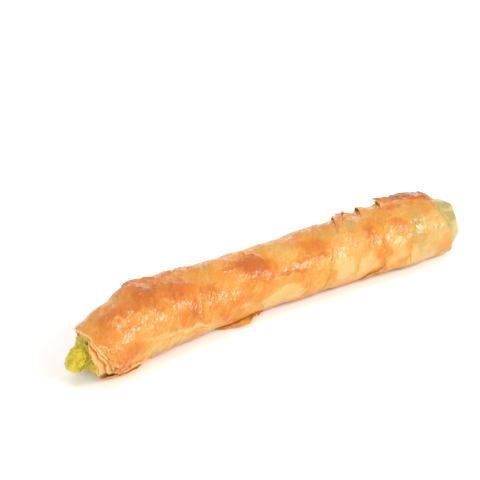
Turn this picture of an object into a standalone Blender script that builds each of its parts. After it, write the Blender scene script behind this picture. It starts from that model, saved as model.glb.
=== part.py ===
"""A rolled potato filo pie: a baked roll of filo sheets round a rod of mashed potato.

The roll lies on its side along X and rests on a flattened underside. Two solids make it up: the
pastry, a thick-walled tube with the wraps' overlapping edges, pleats and flaps raised on its skin,
and the potato filling, a rod that runs through it and stands out of the left end.

Sizes are in millimetres until they are written to a mesh, and angles are in degrees round the roll:
0 faces the front (-Y), 90 the top, 180 the back, and -90 and 270 are both the underside.
"""

import math

import bmesh
import bpy
import numpy as np

MM = 0.001
COLLECTION = "potato_filo_pie"

# The roll's overall form
HALF_LENGTH = 114.0
MIDDLE_WIDTH = 37.6
END_SWELL = 6.5
RIM_PINCH = 9.0
PINCH_POWER = 7
HEIGHT_SHARE = 0.92
BOW_MIDDLE = 3.7
BOW_ENDS = 8.5
BOW_SKEW = 5.0
BOW_REACH = 1.15
FLAT_DEPTH = 1.2
FLAT_BLEND = 1.5

# The low lumps of the skin: height, wavelength along the roll, waves round it, and phase
LUMPS = (
    (0.35, 61.0, 2, 20.0),
    (0.30, 37.0, 3, 130.0),
    (0.22, 23.0, 1, 250.0),
    (0.16, 14.0, 4, 75.0),
)

# Each wrap's left edge: its place at the top of the roll, how far it runs along the roll for each
# degree round the front and round the back, and how high the wrap stands at its left and right edges
LEFT_RIM, RIGHT_RIM = "left_rim", "right_rim"
WRAPS = (
    (LEFT_RIM, None, 0.00, 0.00, 0.3, 1.0),
    ("second_sheet", -79.0, 0.10, -0.02, 0.1, 0.0),
    ("third_sheet", -60.0, 0.20, 0.23, 1.1, 0.0),
    ("long_sheet", -38.5, 0.16, 0.20, 1.0, 0.0),
    ("pleat", 43.0, 0.17, 0.20, 0.5, 1.3),
    ("pleat_side", 47.5, 0.18, 0.28, 0.0, 0.0),
    ("fifth_sheet", 60.0, 0.14, 0.20, 1.1, 0.1),
    ("end_sheet", 71.0, 0.11, 0.17, 1.5, 0.5),
    (RIGHT_RIM, None, 0.00, 0.00, 0.0, 0.0),
)
# Where an edge stands up further: wrap, its side, angle round the roll, spread in degrees, extra height
LEFT_SIDE, RIGHT_SIDE = "left", "right"
CRESTS = (
    ("third_sheet", LEFT_SIDE, 118.0, 26.0, 0.5),
    ("pleat", RIGHT_SIDE, 126.0, 24.0, 2.0),
    ("end_sheet", LEFT_SIDE, 120.0, 22.0, 0.9),
    ("end_sheet", LEFT_SIDE, -34.0, 18.0, 1.0),
)
EDGE_WIDTH = 0.6
WRAP_FADE = 1.5
BACK_REACH = 60.0
SLANT_FADE = 38.0
RELIEF_FADE = 70.0
STATION_STEP = 3.0

# The seam's long ledge low on the front: its reach along the roll, its upper edge's angle and how far
# that drops over the right half, the edge's softness in degrees, its fade at both ends, and its height
SEAM_START, SEAM_END = -94.0, -36.0
SEAM_ANGLE = 4.0
SEAM_DROP = 30.0
SEAM_EDGE = 8.0
SEAM_FADE = 7.0
SEAM_HEIGHT = 0.9

# The slanting ends: middle, slant and angle of the furthest point, for the outer rim and inmost layer
LEFT_OUTER_RIM = (-113.5, -7.5, 95.0)
LEFT_INNER_RIM = (-119.0, -2.5, 95.0)
RIGHT_OUTER_RIM = (109.0, -4.0, 75.0)
RIGHT_INNER_RIM = (110.8, 4.2, 60.0)
RIM_RAGS = ((0.5, 5, 1.0), (0.3, 11, 0.0))
END_LAYERS = 4
LAYER_GROOVE = 0.8
# The pale core tube of the right end: how far along it, and how far in from the skin towards the bore
CORE_TUBE = ((0.0, 0.26), (0.45, 0.27), (0.8, 0.32), (1.0, 0.42))

# The potato filling and the bore round it
BORE_RADIUS = 12.4
BORE_SETBACK = 1.0
FILLING_GAP = 0.45
FILLING_LEFT_TIP = -131.5
FILLING_RIGHT_TIP = 114.0
HEAP_RADIUS = 9.4
HEAP_BEFORE_RIM = 1.0
HEAP_BLEND = 3.0
HEAP_LIFT = 1.5
HEAP_LUMPS = ((0.8, 3, 0.9), (0.55, 5, -1.3))
LEFT_ROUNDING = 7.0
RIGHT_ROUNDING = 4.0

# Columns round the roll, rings along the bore, and the filling's columns and rings
PASTRY_COLUMNS = 36
BORE_STATIONS = 20
FILLING_COLUMNS = 24
FILLING_RINGS = 44

# Flaps of loose pastry: reach along the roll, root and free edge round it, lift of the free edge
FLAPS = (
    ("seam_flap", -41.0, -10.0, -66.0, -36.0, 3.2),
    ("torn_flap", -89.0, -64.0, 145.0, 118.0, 2.6),
    ("crisp_flap", 89.0, 109.0, 148.0, 110.0, 2.5),
    ("heel_flap", -112.0, -90.0, -62.0, -36.0, 1.2),
)
FLAP_THICKNESS = 1.1
FLAP_ROOT_DEPTH = 1.6
FLAP_CLEARANCE = 0.9
FLAP_GRID = (12, 6)
FLAP_CORNER = 0.08
FLAP_NARROWING = 0.6
FLAP_CURL = 1.3
FLAP_RAGS = ((0.14, 17.0, 0.0), (0.08, 41.0, 1.0))

PASTRY_COLOUR = (0.86, 0.47, 0.13, 1.0)
FILLING_COLOUR = (0.71, 0.62, 0.07, 1.0)


def smooth_step(value):
    """0 below 0 and 1 above 1, with a smooth rise between."""
    share = np.clip(value, 0.0, 1.0)
    return share * share * (3.0 - 2.0 * share)


def half_width(x):
    """Half the roll's width: slender in the middle, fuller towards the ends, pinched in at the rims."""
    share = np.clip(x / HALF_LENGTH, -1.0, 1.0)
    width = MIDDLE_WIDTH + END_SWELL * share**2 - RIM_PINCH * np.abs(share) ** PINCH_POWER
    return width / 2.0


def bow(x):
    """Sideways place of the centre line: both ends bend forwards, the left one less steeply."""
    share = np.clip(x / HALF_LENGTH, -BOW_REACH, BOW_REACH)
    return BOW_MIDDLE - BOW_ENDS * share**2 + BOW_SKEW * (share**3 - share)


def pressed(height):
    """Height above the tray: the underside is pressed flat, with a soft turn up at its sides."""
    rise = height - FLAT_DEPTH
    turn = np.clip(rise, 0.0, FLAT_BLEND)
    return turn**2 / (2.0 * FLAT_BLEND) + np.maximum(rise - FLAT_BLEND, 0.0)


def placed(x, angle, radius):
    """Points at a radius from the centre line, measured sideways, in the roll's squashed section."""
    turn = np.radians(angle)
    y = bow(x) - radius * np.cos(turn)
    z = HEIGHT_SHARE * (half_width(x) + radius * np.sin(turn))
    return np.stack(np.broadcast_arrays(x, y, pressed(z)), axis=-1)


def off_the_underside(angle, fade):
    """0 on the underside and 1 on either side of it, past an angle of fade."""
    from_below = np.minimum(angle + 90.0, 270.0 - angle)
    return smooth_step(from_below / fade)


def lumps(x, angle):
    """The skin's low unevenness, as a sum of slanting waves."""
    turn = np.radians(angle)
    total = 0.0
    for height, wavelength, waves, phase in LUMPS:
        total = total + height * np.sin(2.0 * math.pi * x / wavelength + waves * turn + math.radians(phase))
    return total * off_the_underside(angle, RELIEF_FADE)


def slanted_rim(rim, angle):
    """Where a cut end lies along the roll at each angle, with a ragged edge."""
    middle, slant, furthest = rim
    turn = np.radians(angle)
    ragged = sum(depth * np.sin(waves * turn + phase) for depth, waves, phase in RIM_RAGS)
    return middle + slant * np.cos(turn - math.radians(furthest)) + ragged


def wrap_edge(wrap, angle):
    """Where a wrap's left edge lies along the roll at each angle."""
    name, top, front_slope, back_slope = wrap[:4]
    if name == LEFT_RIM:
        return slanted_rim(LEFT_OUTER_RIM, angle)
    if name == RIGHT_RIM:
        return slanted_rim(RIGHT_OUTER_RIM, angle)
    from_top = angle - 90.0
    front_run = front_slope * np.minimum(from_top, 0.0)
    back_run = back_slope * BACK_REACH * np.tanh(np.maximum(from_top, 0.0) / BACK_REACH)
    return top + (front_run + back_run) * off_the_underside(angle, SLANT_FADE)


def crest(name, side, angle):
    """Extra height of a wrap's edge where it stands up."""
    total = np.zeros_like(angle)
    for wrap, edge, middle, spread, extra in CRESTS:
        if (wrap, edge) == (name, side):
            total += extra * np.exp(-(((angle - middle) / spread) ** 2))
    return total


def seam_ledge(x, angle):
    """The seam's ledge: the skin stands out below a long edge that dips towards its right end."""
    along = (x - SEAM_START) / (SEAM_END - SEAM_START)
    upper_edge = SEAM_ANGLE - SEAM_DROP * smooth_step(2.0 * along - 1.0)
    below = smooth_step((upper_edge - angle) / SEAM_EDGE)
    ends = smooth_step((x - SEAM_START) / SEAM_FADE) * smooth_step((SEAM_END - x) / SEAM_FADE)
    return SEAM_HEIGHT * below * ends * off_the_underside(angle, RELIEF_FADE)


def skin(angle):
    """Points of the outer skin, one row for each angle, from the left rim to the right one."""
    rows = []
    for wrap, following in zip(WRAPS[:-1], WRAPS[1:]):
        left = wrap_edge(wrap, angle)
        right = wrap_edge(following, angle) - EDGE_WIDTH
        count = max(2, round(float(np.median(right - left)) / STATION_STEP))
        share = np.linspace(0.0, 1.0, count)[None, :]
        x = left + (right - left) * share
        left_height = wrap[4] + crest(wrap[0], LEFT_SIDE, angle)
        right_height = wrap[5] + crest(wrap[0], RIGHT_SIDE, angle)
        height = left_height * (1.0 - share) ** WRAP_FADE + right_height * share**WRAP_FADE
        height = height * off_the_underside(angle, RELIEF_FADE)
        radius = half_width(x) + height + lumps(x, angle) + seam_ledge(x, angle)
        rows.append(placed(x, angle, radius))
    return np.concatenate(rows, axis=1)


def bore_ring(x, angle):
    """The bore's wall at a place along the roll."""
    return placed(x, angle, BORE_RADIUS)


def inwards(ring, x, angle, share):
    """A ring of the skin drawn in towards the bore by a share of the wall, and moved along to x."""
    points = ring + (bore_ring(x, angle) - ring) * share
    points[..., 0] = x
    return points


def end_layers(ring, start, outer, inner, angle, outward):
    """An end's cut layers, from a share of the wall in to the bore: flat rims with grooves between."""
    step = (1.0 - start) / END_LAYERS
    rows = []
    for layer in range(END_LAYERS):
        x = outer + (inner - outer) * (layer + 0.5) / END_LAYERS
        rows.append(inwards(ring, x, angle, start + step * (layer + 0.25)))
        rows.append(inwards(ring, x, angle, start + step * (layer + 0.75)))
        if layer < END_LAYERS - 1:
            rows.append(inwards(ring, x - outward * LAYER_GROOVE, angle, start + step * (layer + 1.0)))
    return rows


def right_end(ring, angle):
    """The core tube that stands out of the right rim, then its layers in to the bore."""
    rim = slanted_rim(RIGHT_OUTER_RIM, angle)
    tip = slanted_rim(RIGHT_INNER_RIM, angle)
    rows = [inwards(ring, rim + (tip - rim) * along, angle, share) for along, share in CORE_TUBE]
    rows += end_layers(ring, CORE_TUBE[-1][1], tip, tip, angle, 1.0)
    return np.concatenate(rows, axis=1)


def left_end(ring, angle):
    """The left end's layers, from the bore out to the skin."""
    outer = slanted_rim(LEFT_OUTER_RIM, angle)
    inner = slanted_rim(LEFT_INNER_RIM, angle)
    rows = end_layers(ring, 0.0, outer, inner, angle, -1.0)
    return np.concatenate(rows[::-1], axis=1)


def bore(angle):
    """The bore's wall from the right end to the left one."""
    right = slanted_rim(RIGHT_INNER_RIM, angle) - BORE_SETBACK
    left = slanted_rim(LEFT_INNER_RIM, angle) + BORE_SETBACK
    share = 0.5 - 0.5 * np.cos(np.linspace(0.0, math.pi, BORE_STATIONS))[None, :]
    return bore_ring(right + (left - right) * share, angle)


def collection():
    """The object's collection, made in an empty scene."""
    for old in list(bpy.data.objects):
        bpy.data.objects.remove(old)
    made = bpy.data.collections.new(COLLECTION)
    bpy.context.scene.collection.children.link(made)
    return made


def material(name, colour, roughness):
    """A plain finish with the part's own colour."""
    made = bpy.data.materials.new(name)
    made.use_nodes = True
    shader = made.node_tree.nodes["Principled BSDF"]
    shader.inputs["Base Color"].default_value = colour
    shader.inputs["Roughness"].default_value = roughness
    shader.inputs["Metallic"].default_value = 0.0
    return made


def into(group, obj):
    """Moves a new object from the scene's collection to the object's own."""
    for holder in list(obj.users_collection):
        holder.objects.unlink(obj)
    group.objects.link(obj)


def write_points(obj, points):
    """Moves an object's vertices to the points, given in millimetres, and turns its faces outwards."""
    obj.data.vertices.foreach_set("co", (points.reshape(-1, 3) * MM).astype(np.float32).ravel())
    shape = bmesh.new()
    shape.from_mesh(obj.data)
    bmesh.ops.recalc_face_normals(shape, faces=shape.faces)
    shape.to_mesh(obj.data)
    shape.free()


def make_pastry(group):
    """The pastry: a torus whose ring runs round the roll and whose section is the tube's wall."""
    columns = np.linspace(-90.0, 270.0, PASTRY_COLUMNS, endpoint=False)[:, None]
    outer = skin(columns)
    right = right_end(outer[:, -1:], columns)
    left = left_end(outer[:, :1], columns)
    wall = np.concatenate([outer, right, bore(columns), left], axis=1)
    bpy.ops.mesh.primitive_torus_add(major_segments=PASTRY_COLUMNS, minor_segments=wall.shape[1])
    pastry = bpy.context.object
    pastry.name = "filo_pastry"
    into(group, pastry)
    write_points(pastry, wall)
    pastry.data.materials.append(material("baked_filo", PASTRY_COLOUR, 0.32))
    return pastry


def flap_points(start, end, root, edge, lift):
    """A flap's middle surface: it leaves the skin at its root and rises to a ragged free edge."""
    along = np.linspace(0.0, 1.0, FLAP_GRID[0])[None, :]
    out = np.linspace(0.0, 1.0, FLAP_GRID[1])[:, None]
    across = FLAP_CORNER + (1.0 - 2.0 * FLAP_CORNER) * along
    narrowing = np.sin(math.pi * across) ** FLAP_NARROWING
    ragged = 1.0 + sum(depth * np.sin(pitch * along + phase) for depth, pitch, phase in FLAP_RAGS)
    x = start + (end - start) * (along + 0.0 * out)
    angle = root + (edge - root) * out * narrowing * ragged
    rise = (lift + FLAP_ROOT_DEPTH) * out**FLAP_CURL * narrowing - FLAP_ROOT_DEPTH
    points = placed(x, angle, half_width(x) + lumps(x, angle) + rise)
    points[..., 2] = np.maximum(points[..., 2], FLAP_CLEARANCE)
    return points


def make_flap(group, name, start, end, root, edge, lift):
    """One loose flap, thick enough to join the pastry."""
    bpy.ops.mesh.primitive_grid_add(x_subdivisions=FLAP_GRID[0] - 1, y_subdivisions=FLAP_GRID[1] - 1)
    flap = bpy.context.object
    flap.name = name
    into(group, flap)
    write_points(flap, flap_points(start, end, root, edge, lift))
    wall = flap.modifiers.new("wall", "SOLIDIFY")
    wall.thickness = FLAP_THICKNESS * MM
    wall.offset = 0.0
    return flap


def join_flaps(pastry):
    """Fuses the flaps into the pastry and removes them."""
    helpers = bpy.data.collections.new("flaps")
    bpy.context.scene.collection.children.link(helpers)
    for flap in FLAPS:
        make_flap(helpers, *flap)
    union = pastry.modifiers.new("flaps", "BOOLEAN")
    union.operation = "UNION"
    union.operand_type = "COLLECTION"
    union.collection = helpers
    bpy.context.view_layer.objects.active = pastry
    bpy.ops.object.modifier_apply(modifier=union.name)
    for flap in list(helpers.objects):
        bpy.data.objects.remove(flap)
    bpy.data.collections.remove(helpers)


def rounding(distance, reach):
    """How a rounded tip narrows: 0 at the tip and 1 at its reach, as a quarter of an ellipse."""
    left = 1.0 - np.clip(distance / reach, 0.0, 1.0)
    return np.sqrt(1.0 - left**2)


def outside(x, angle):
    """0 in the bore and 1 beyond the left end, where the filling stands out as a lumpy heap."""
    start = slanted_rim(LEFT_INNER_RIM, angle) - HEAP_BEFORE_RIM
    return smooth_step((start - x) / HEAP_BLEND)


def filling_radius(x, angle):
    """The filling's radius: a rod in the bore, a lumpy heap outside it, and a rounded tip each end."""
    turn = np.radians(angle)
    rod = BORE_RADIUS - FILLING_GAP
    lump = sum(height * np.sin(waves * turn + twist * x) for height, waves, twist in HEAP_LUMPS)
    radius = rod + outside(x, angle) * (HEAP_RADIUS - rod + lump)
    left_tip = rounding(x - FILLING_LEFT_TIP, LEFT_ROUNDING)
    return radius * left_tip * rounding(FILLING_RIGHT_TIP - x, RIGHT_ROUNDING)


def make_filling(group):
    """The filling: a ball drawn out along the roll, with its poles at the two tips."""
    bpy.ops.mesh.primitive_uv_sphere_add(segments=FILLING_COLUMNS, ring_count=FILLING_RINGS)
    filling = bpy.context.object
    filling.name = "potato_filling"
    into(group, filling)
    at = np.empty(len(filling.data.vertices) * 3)
    filling.data.vertices.foreach_get("co", at)
    at = at.reshape(-1, 3)
    share = 0.5 - 0.5 * at[:, 2]
    angle = np.degrees(np.arctan2(at[:, 1], at[:, 0]))
    x = FILLING_LEFT_TIP + (FILLING_RIGHT_TIP - FILLING_LEFT_TIP) * share
    points = placed(x, angle, filling_radius(x, angle))
    points[:, 2] += HEAP_LIFT * outside(x, angle)
    write_points(filling, points)
    filling.data.materials.append(material("potato", FILLING_COLOUR, 0.55))
    return filling


def stand_on_origin(objects):
    """Moves the whole object so that the origin is at the middle of its box's underside."""
    points = np.concatenate([[vertex.co[:] for vertex in obj.data.vertices] for obj in objects])
    low, high = points.min(axis=0), points.max(axis=0)
    middle = (low + high) / 2.0
    for obj in objects:
        for vertex in obj.data.vertices:
            vertex.co.x -= middle[0]
            vertex.co.y -= middle[1]
            vertex.co.z -= low[2]


def main():
    group = collection()
    pastry = make_pastry(group)
    join_flaps(pastry)
    filling = make_filling(group)
    stand_on_origin([pastry, filling])
    pastry.data.shade_smooth()
    filling.data.shade_smooth()


main()
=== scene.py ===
"""The looks of a potato filo pie: a baked roll of thin filo sheets wound round mashed potato.

The solids give the roll's form. Here each wrap of pastry is a thin sheet of its own with a ragged free
edge, the cut ends show the sheets' layers, loose flaps stand off the skin, and the mash is lumpy.
Lengths are in millimetres and angles in degrees until points are placed in the frame, in metres. An
angle runs round the roll: 0 is the front, 90 the top, 180 the back, and -90 and 270 the underside.
"""

import logging
import math
from dataclasses import dataclass
from enum import Enum
from typing import Any, Sequence

import bpy
import numpy as np
from mathutils import Matrix, Vector


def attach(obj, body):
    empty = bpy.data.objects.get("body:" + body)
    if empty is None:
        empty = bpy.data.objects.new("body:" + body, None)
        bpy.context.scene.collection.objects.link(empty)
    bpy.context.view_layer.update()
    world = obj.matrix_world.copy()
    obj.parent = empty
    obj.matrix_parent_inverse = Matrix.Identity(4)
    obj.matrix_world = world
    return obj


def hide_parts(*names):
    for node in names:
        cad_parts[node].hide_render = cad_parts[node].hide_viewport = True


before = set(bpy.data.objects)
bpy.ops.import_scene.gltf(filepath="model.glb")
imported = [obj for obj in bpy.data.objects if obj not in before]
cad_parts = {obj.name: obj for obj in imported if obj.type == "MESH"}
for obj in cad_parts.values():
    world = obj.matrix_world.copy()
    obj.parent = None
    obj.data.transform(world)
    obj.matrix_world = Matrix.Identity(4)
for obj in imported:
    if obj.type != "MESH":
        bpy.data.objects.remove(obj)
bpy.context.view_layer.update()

LOG = logging.getLogger("potato_filo_pie")
MM = 0.001
BODY = "root"
PASTRY_NODE = "filo_pastry"
FILLING_NODE = "potato_filling"
UNDERSIDE = -90.0
TOP = 90.0
FULL_TURN = 360.0
MEAN_RELIEF = 0.25

Array = np.ndarray
Pair = tuple[float, float]
Triple = tuple[float, float, float]
Colour = Triple
Stops = tuple[tuple[float, Colour], ...]


class FreeEdge(Enum):
    """Which edges of a wrap are free, and so show as a lip on the skin."""

    LEFT = "left"
    BOTH = "both"
    NEITHER = "neither"


def smooth_step(value: Array) -> Array:
    """0 below 0 and 1 above 1, with the cubic 3t^2 - 2t^3 between.

    Args:
        value: Any array.

    Returns:
        The eased values, of the same shape.
    """
    share = np.clip(value, 0.0, 1.0)
    return share * share * (3.0 - 2.0 * share)


def bell(distance: Array, width: float) -> Array:
    """A bell curve: e to the power -(distance / width)^2."""
    return np.exp(-((distance / width) ** 2))


def around(columns: int) -> Array:
    """Evenly spaced angles once round the roll from its underside, as a column."""
    return np.linspace(UNDERSIDE, UNDERSIDE + FULL_TURN, columns, endpoint=False)[:, None]


def ring(angle: Array, height: float) -> Array:
    """Places on a circle of radius 1 at a height, where noise that varies with the angle is read."""
    turn = np.radians(angle)
    return np.stack(np.broadcast_arrays(np.cos(turn), np.sin(turn), height), axis=-1)


class Grain:
    """Smooth random fields in space: gradient noise on a lattice, the same on every run."""

    CELLS = 32
    GAIN = 1.6
    OCTAVE_SHIFT = 7.3
    CREASE_POWER = 1.5

    def __init__(self, seed: int) -> None:
        """Draws the lattice's directions.

        Args:
            seed: Chooses the field.
        """
        draw = np.random.default_rng(seed).normal(size=(self.CELLS,) * 3 + (3,))
        self.directions = draw / np.linalg.norm(draw, axis=-1, keepdims=True)

    def at(self, points: Array) -> Array:
        """Gradient noise: each lattice corner's direction dotted with the way to it, and the eight
        results blended by 6t^5 - 15t^4 + 10t^3.

        Args:
            points: Places, in cells of the lattice, as (..., 3).

        Returns:
            Values of about -1 to 1, as (...).
        """
        cell = np.floor(points).astype(int)
        local = points - cell
        ease = local**3 * (local * (local * 6.0 - 15.0) + 10.0)
        total = np.zeros(points.shape[:-1])
        for corner in np.ndindex(2, 2, 2):
            step = np.array(corner)
            index = (cell + step) % self.CELLS
            direction = self.directions[index[..., 0], index[..., 1], index[..., 2]]
            weight = np.prod(np.where(step == 1, ease, 1.0 - ease), axis=-1)
            total += weight * np.sum(direction * (local - step), axis=-1)
        return total * self.GAIN

    def cloud(self, points: Array, octaves: int = 3) -> Array:
        """A sum of octaves, each twice as fine and half as strong as the one before.

        Args:
            points: Places, in cells of the coarsest octave.
            octaves: How many are added.

        Returns:
            Values of about -1 to 1.
        """
        total = np.zeros(points.shape[:-1])
        for octave in range(octaves):
            total += self.at(points * 2.0**octave + self.OCTAVE_SHIFT * octave) / 2.0**octave
        return total

    def creases(self, points: Array, sharpness: float = 3.0) -> Array:
        """Thin ridges along the field's zero lines: (1 - k|n|) where that is above 0, to the power 1.5.

        Args:
            points: Places, in cells of the lattice.
            sharpness: k, which narrows the ridges.

        Returns:
            Values from 0 to 1.
        """
        return np.clip(1.0 - sharpness * np.abs(self.at(points)), 0.0, 1.0) ** self.CREASE_POWER


@dataclass(frozen=True)
class Form:
    """The roll's overall form, the same as the solids': a squashed, gently bowed tube."""

    half_length: float = 114.0
    middle_width: float = 37.6
    end_swell: float = 6.5
    rim_pinch: float = 9.0
    pinch_power: int = 7
    height_share: float = 0.92
    bow_middle: float = 3.7
    bow_ends: float = 8.5
    bow_skew: float = 5.0
    bow_reach: float = 1.15
    flat_depth: float = 1.2
    flat_blend: float = 1.5
    bore_radius: float = 12.4
    middle_x: float = 7.98
    middle_y: float = -0.42
    slant_front: float = 0.15
    slant_back: float = 0.18
    back_reach: float = 60.0
    slant_fade: float = 38.0
    relief_fade: float = 70.0
    curl_start: float = -101.0
    curl_height: float = 12.0
    curl_rate: float = 0.28
    curl_fade: float = 0.7

    def half_width(self, x: Array) -> Array:
        """Half the width: a constant, plus a swell with x^2, less a pinch with x^7 at the rims."""
        share = np.clip(x / self.half_length, -1.0, 1.0)
        pinch = self.rim_pinch * np.abs(share) ** self.pinch_power
        return (self.middle_width + self.end_swell * share**2 - pinch) / 2.0

    def bow(self, x: Array) -> Array:
        """Sideways place of the centre line: a parabola with a cubic skew."""
        share = np.clip(x / self.half_length, -self.bow_reach, self.bow_reach)
        return self.bow_middle - self.bow_ends * share**2 + self.bow_skew * (share**3 - share)

    def pressed(self, height: Array) -> Array:
        """Height above the tray: 0 up to the flat's depth, then a parabola that runs into a line."""
        rise = height - self.flat_depth
        turn = np.clip(rise, 0.0, self.flat_blend)
        return turn**2 / (2.0 * self.flat_blend) + np.maximum(rise - self.flat_blend, 0.0)

    def off_underside(self, angle: Array, fade: float) -> Array:
        """0 on the underside and 1 past an angle of fade to either side of it."""
        return smooth_step(np.minimum(angle - UNDERSIDE, UNDERSIDE + FULL_TURN - angle) / fade)

    def at_radius(self, x: Array, angle: Array, radius: Array) -> Array:
        """Points at a radius from the centre line, in the squashed section.

        Args:
            x: Places along the roll.
            angle: Angles round it.
            radius: Distances from the centre line, measured sideways.

        Returns:
            Points of the frame in metres, as (..., 3).
        """
        turn = np.radians(angle)
        y = self.bow(x) - radius * np.cos(turn)
        z = self.height_share * (self.half_width(x) + radius * np.sin(turn))
        where = np.broadcast_arrays(x + self.middle_x, y + self.middle_y, self.pressed(z))
        return np.stack(where, axis=-1) * MM

    def on_skin(self, x: Array, angle: Array, lift: Array) -> Array:
        """Points at a height above the plain skin."""
        return self.at_radius(x, angle, self.half_width(x) + lift)

    def in_wall(self, x: Array, angle: Array, share: Array) -> Array:
        """Points a share of the way in from the skin to the bore, on the straight line between them."""
        outer = self.on_skin(x, angle, 0.0)
        inner = self.at_radius(x, angle, self.bore_radius)
        return outer + (inner - outer) * np.asarray(share)[..., None]

    def curled_up(self, points: Array) -> Array:
        """Lifts the left end's foot off the tray: by a share of the way past its start, fading with height.

        Args:
            points: Points of the frame in metres, as (..., 3).

        Returns:
            The points, the same array.
        """
        past = np.maximum(self.curl_start * MM - points[..., 0], 0.0)
        fade = self.curl_fade * self.curl_height * MM
        low = smooth_step((self.curl_height * MM - points[..., 2]) / fade)
        points[..., 2] += self.curl_rate * past * low
        return points

    def slant(self, angle: Array) -> Array:
        """How far a wrap's line has run along the roll at an angle, counted from the top."""
        from_top = angle - TOP
        front = self.slant_front * np.minimum(from_top, 0.0)
        back = self.slant_back * self.back_reach * np.tanh(np.maximum(from_top, 0.0) / self.back_reach)
        return (front + back) * self.off_underside(angle, self.slant_fade)

    def wound(self, x: Array, angle: Array) -> Array:
        """Places on the unwound skin: along the roll counted from the wrap's line, then round it.

        Args:
            x: Places along the roll.
            angle: Angles round it.

        Returns:
            (..., 3) in millimetres, whose last two are on a circle of the roll's mean radius.
        """
        turn = np.radians(angle)
        mean = self.middle_width / 2.0
        along = x - self.slant(angle)
        return np.stack(np.broadcast_arrays(along, -mean * np.cos(turn), mean * np.sin(turn)), axis=-1)


@dataclass(frozen=True)
class Rim:
    """A slanting, ragged cut end of the roll: its middle, slant and the angle of its furthest point."""

    middle: float
    slant: float
    furthest: float

    RAGS = ((0.5, 5.0, 1.0), (0.3, 11.0, 0.0))

    def at(self, angle: Array) -> Array:
        """Place along the roll: the middle plus a cosine, with small sine waves for the rags."""
        turn = np.radians(angle)
        ragged = sum(size * np.sin(waves * turn + phase) for size, waves, phase in self.RAGS)
        return self.middle + self.slant * np.cos(turn - math.radians(self.furthest)) + ragged


FORM = Form()
LEFT_OUTER_RIM = Rim(-113.5, -7.5, 95.0)
LEFT_INNER_RIM = Rim(-119.0, -2.5, 95.0)
LEFT_FAN_RIM = Rim(-118.0, -7.5, 20.0)
RIGHT_OUTER_RIM = Rim(109.0, -4.0, 75.0)
RIGHT_INNER_RIM = Rim(111.6, 5.0, 72.0)
ARC = math.radians(FORM.middle_width / 2.0)


@dataclass(frozen=True)
class Line:
    """A line round the skin, through knots of (angle, place along the roll), with ragged waves."""

    knots: tuple[Pair, ...]
    rag: float = 0.7
    seed: int = 1

    FIRST_SEED = 200
    RING_STEP = 0.3
    WAVES = 4.0
    TEARS, TEAR_SHARE, TEAR_SHIFT = 13.0, 0.7, 5.0

    def at(self, angle: Array) -> Array:
        """Place along the roll: straight between the knots, plus noise that varies with the angle.

        Args:
            angle: Angles from -90 to 270.

        Returns:
            Places along the roll in millimetres.
        """
        angles, places = zip(*self.knots)
        place = ring(angle, self.RING_STEP * self.seed)
        grain = Grain(self.FIRST_SEED + self.seed)
        tears = grain.cloud(place * self.TEARS + self.TEAR_SHIFT, 3)
        ragged = grain.cloud(place * self.WAVES, 2) + self.TEAR_SHARE * tears
        return np.interp(angle, angles, places, period=FULL_TURN) + self.rag * ragged


def near_line(x: Array, angle: Array, line: Sequence[Pair], reach: float,
              closed: bool) -> tuple[Array, Array, Array]:
    """Measures places on the unrolled skin against a line of straight pieces.

    Args:
        x: Places along the roll.
        angle: Angles round it.
        line: The line's corners, as (along the roll, angle).
        reach: How far outside the line's own box places are still measured, in millimetres.
        closed: Whether the last corner joins the first.

    Returns:
        A mask of the places that are measured, and for each of those its distance from the line in
        millimetres and whether it is inside the line.
    """
    corners = np.array(line) * (1.0, ARC)
    low, high = corners.min(axis=0) - reach, corners.max(axis=0) + reach
    arc = angle * ARC
    near = (x > low[0]) & (x < high[0]) & (arc > low[1]) & (arc < high[1])
    x, arc = x[near], arc[near]
    distance = np.full(x.shape, np.inf)
    inside = np.zeros(x.shape, dtype=bool)
    ends = np.roll(corners, -1, axis=0)
    for start, end in list(zip(corners, ends))[: None if closed else -1]:
        run = end - start
        from_x, from_arc = x - start[0], arc - start[1]
        share = np.clip((from_x * run[0] + from_arc * run[1]) / (run @ run), 0.0, 1.0)
        gap = np.hypot(from_x - share * run[0], from_arc - share * run[1])
        distance = np.minimum(distance, gap)
        spans = (start[1] > arc) != (end[1] > arc)
        inside ^= spans & (x < run[0] * from_arc / (run[1] if run[1] else 1.0) + start[0])
    return near, distance, inside


@dataclass(frozen=True)
class Area:
    """An area of the skin inside (x, angle) corners, with an edge so many millimetres soft."""

    strength: float
    soft: float
    outline: tuple[Pair, ...]

    def on(self, x: Array, angle: Array) -> Array:
        """The area's weight: its strength well inside the outline, easing to 0 outside it."""
        near, distance, inside = near_line(x, angle, self.outline, self.soft, True)
        weight = np.zeros(x.shape)
        signed = np.where(inside, distance, -distance)
        weight[near] = self.strength * smooth_step(0.5 + signed / (2.0 * self.soft))
        return weight


@dataclass(frozen=True)
class Fold:
    """A ridge on the skin, or a groove if its height is below 0, along a line of (x, angle) points."""

    height: float
    width: float
    line: tuple[Pair, ...]

    REACH = 2.5

    def on(self, x: Array, angle: Array) -> Array:
        """The fold's height: a bell curve of the distance from its line."""
        near, distance, _ = near_line(x, angle, self.line, self.REACH * self.width, False)
        rise = np.zeros(x.shape)
        rise[near] = self.height * bell(distance, self.width)
        return rise


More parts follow.
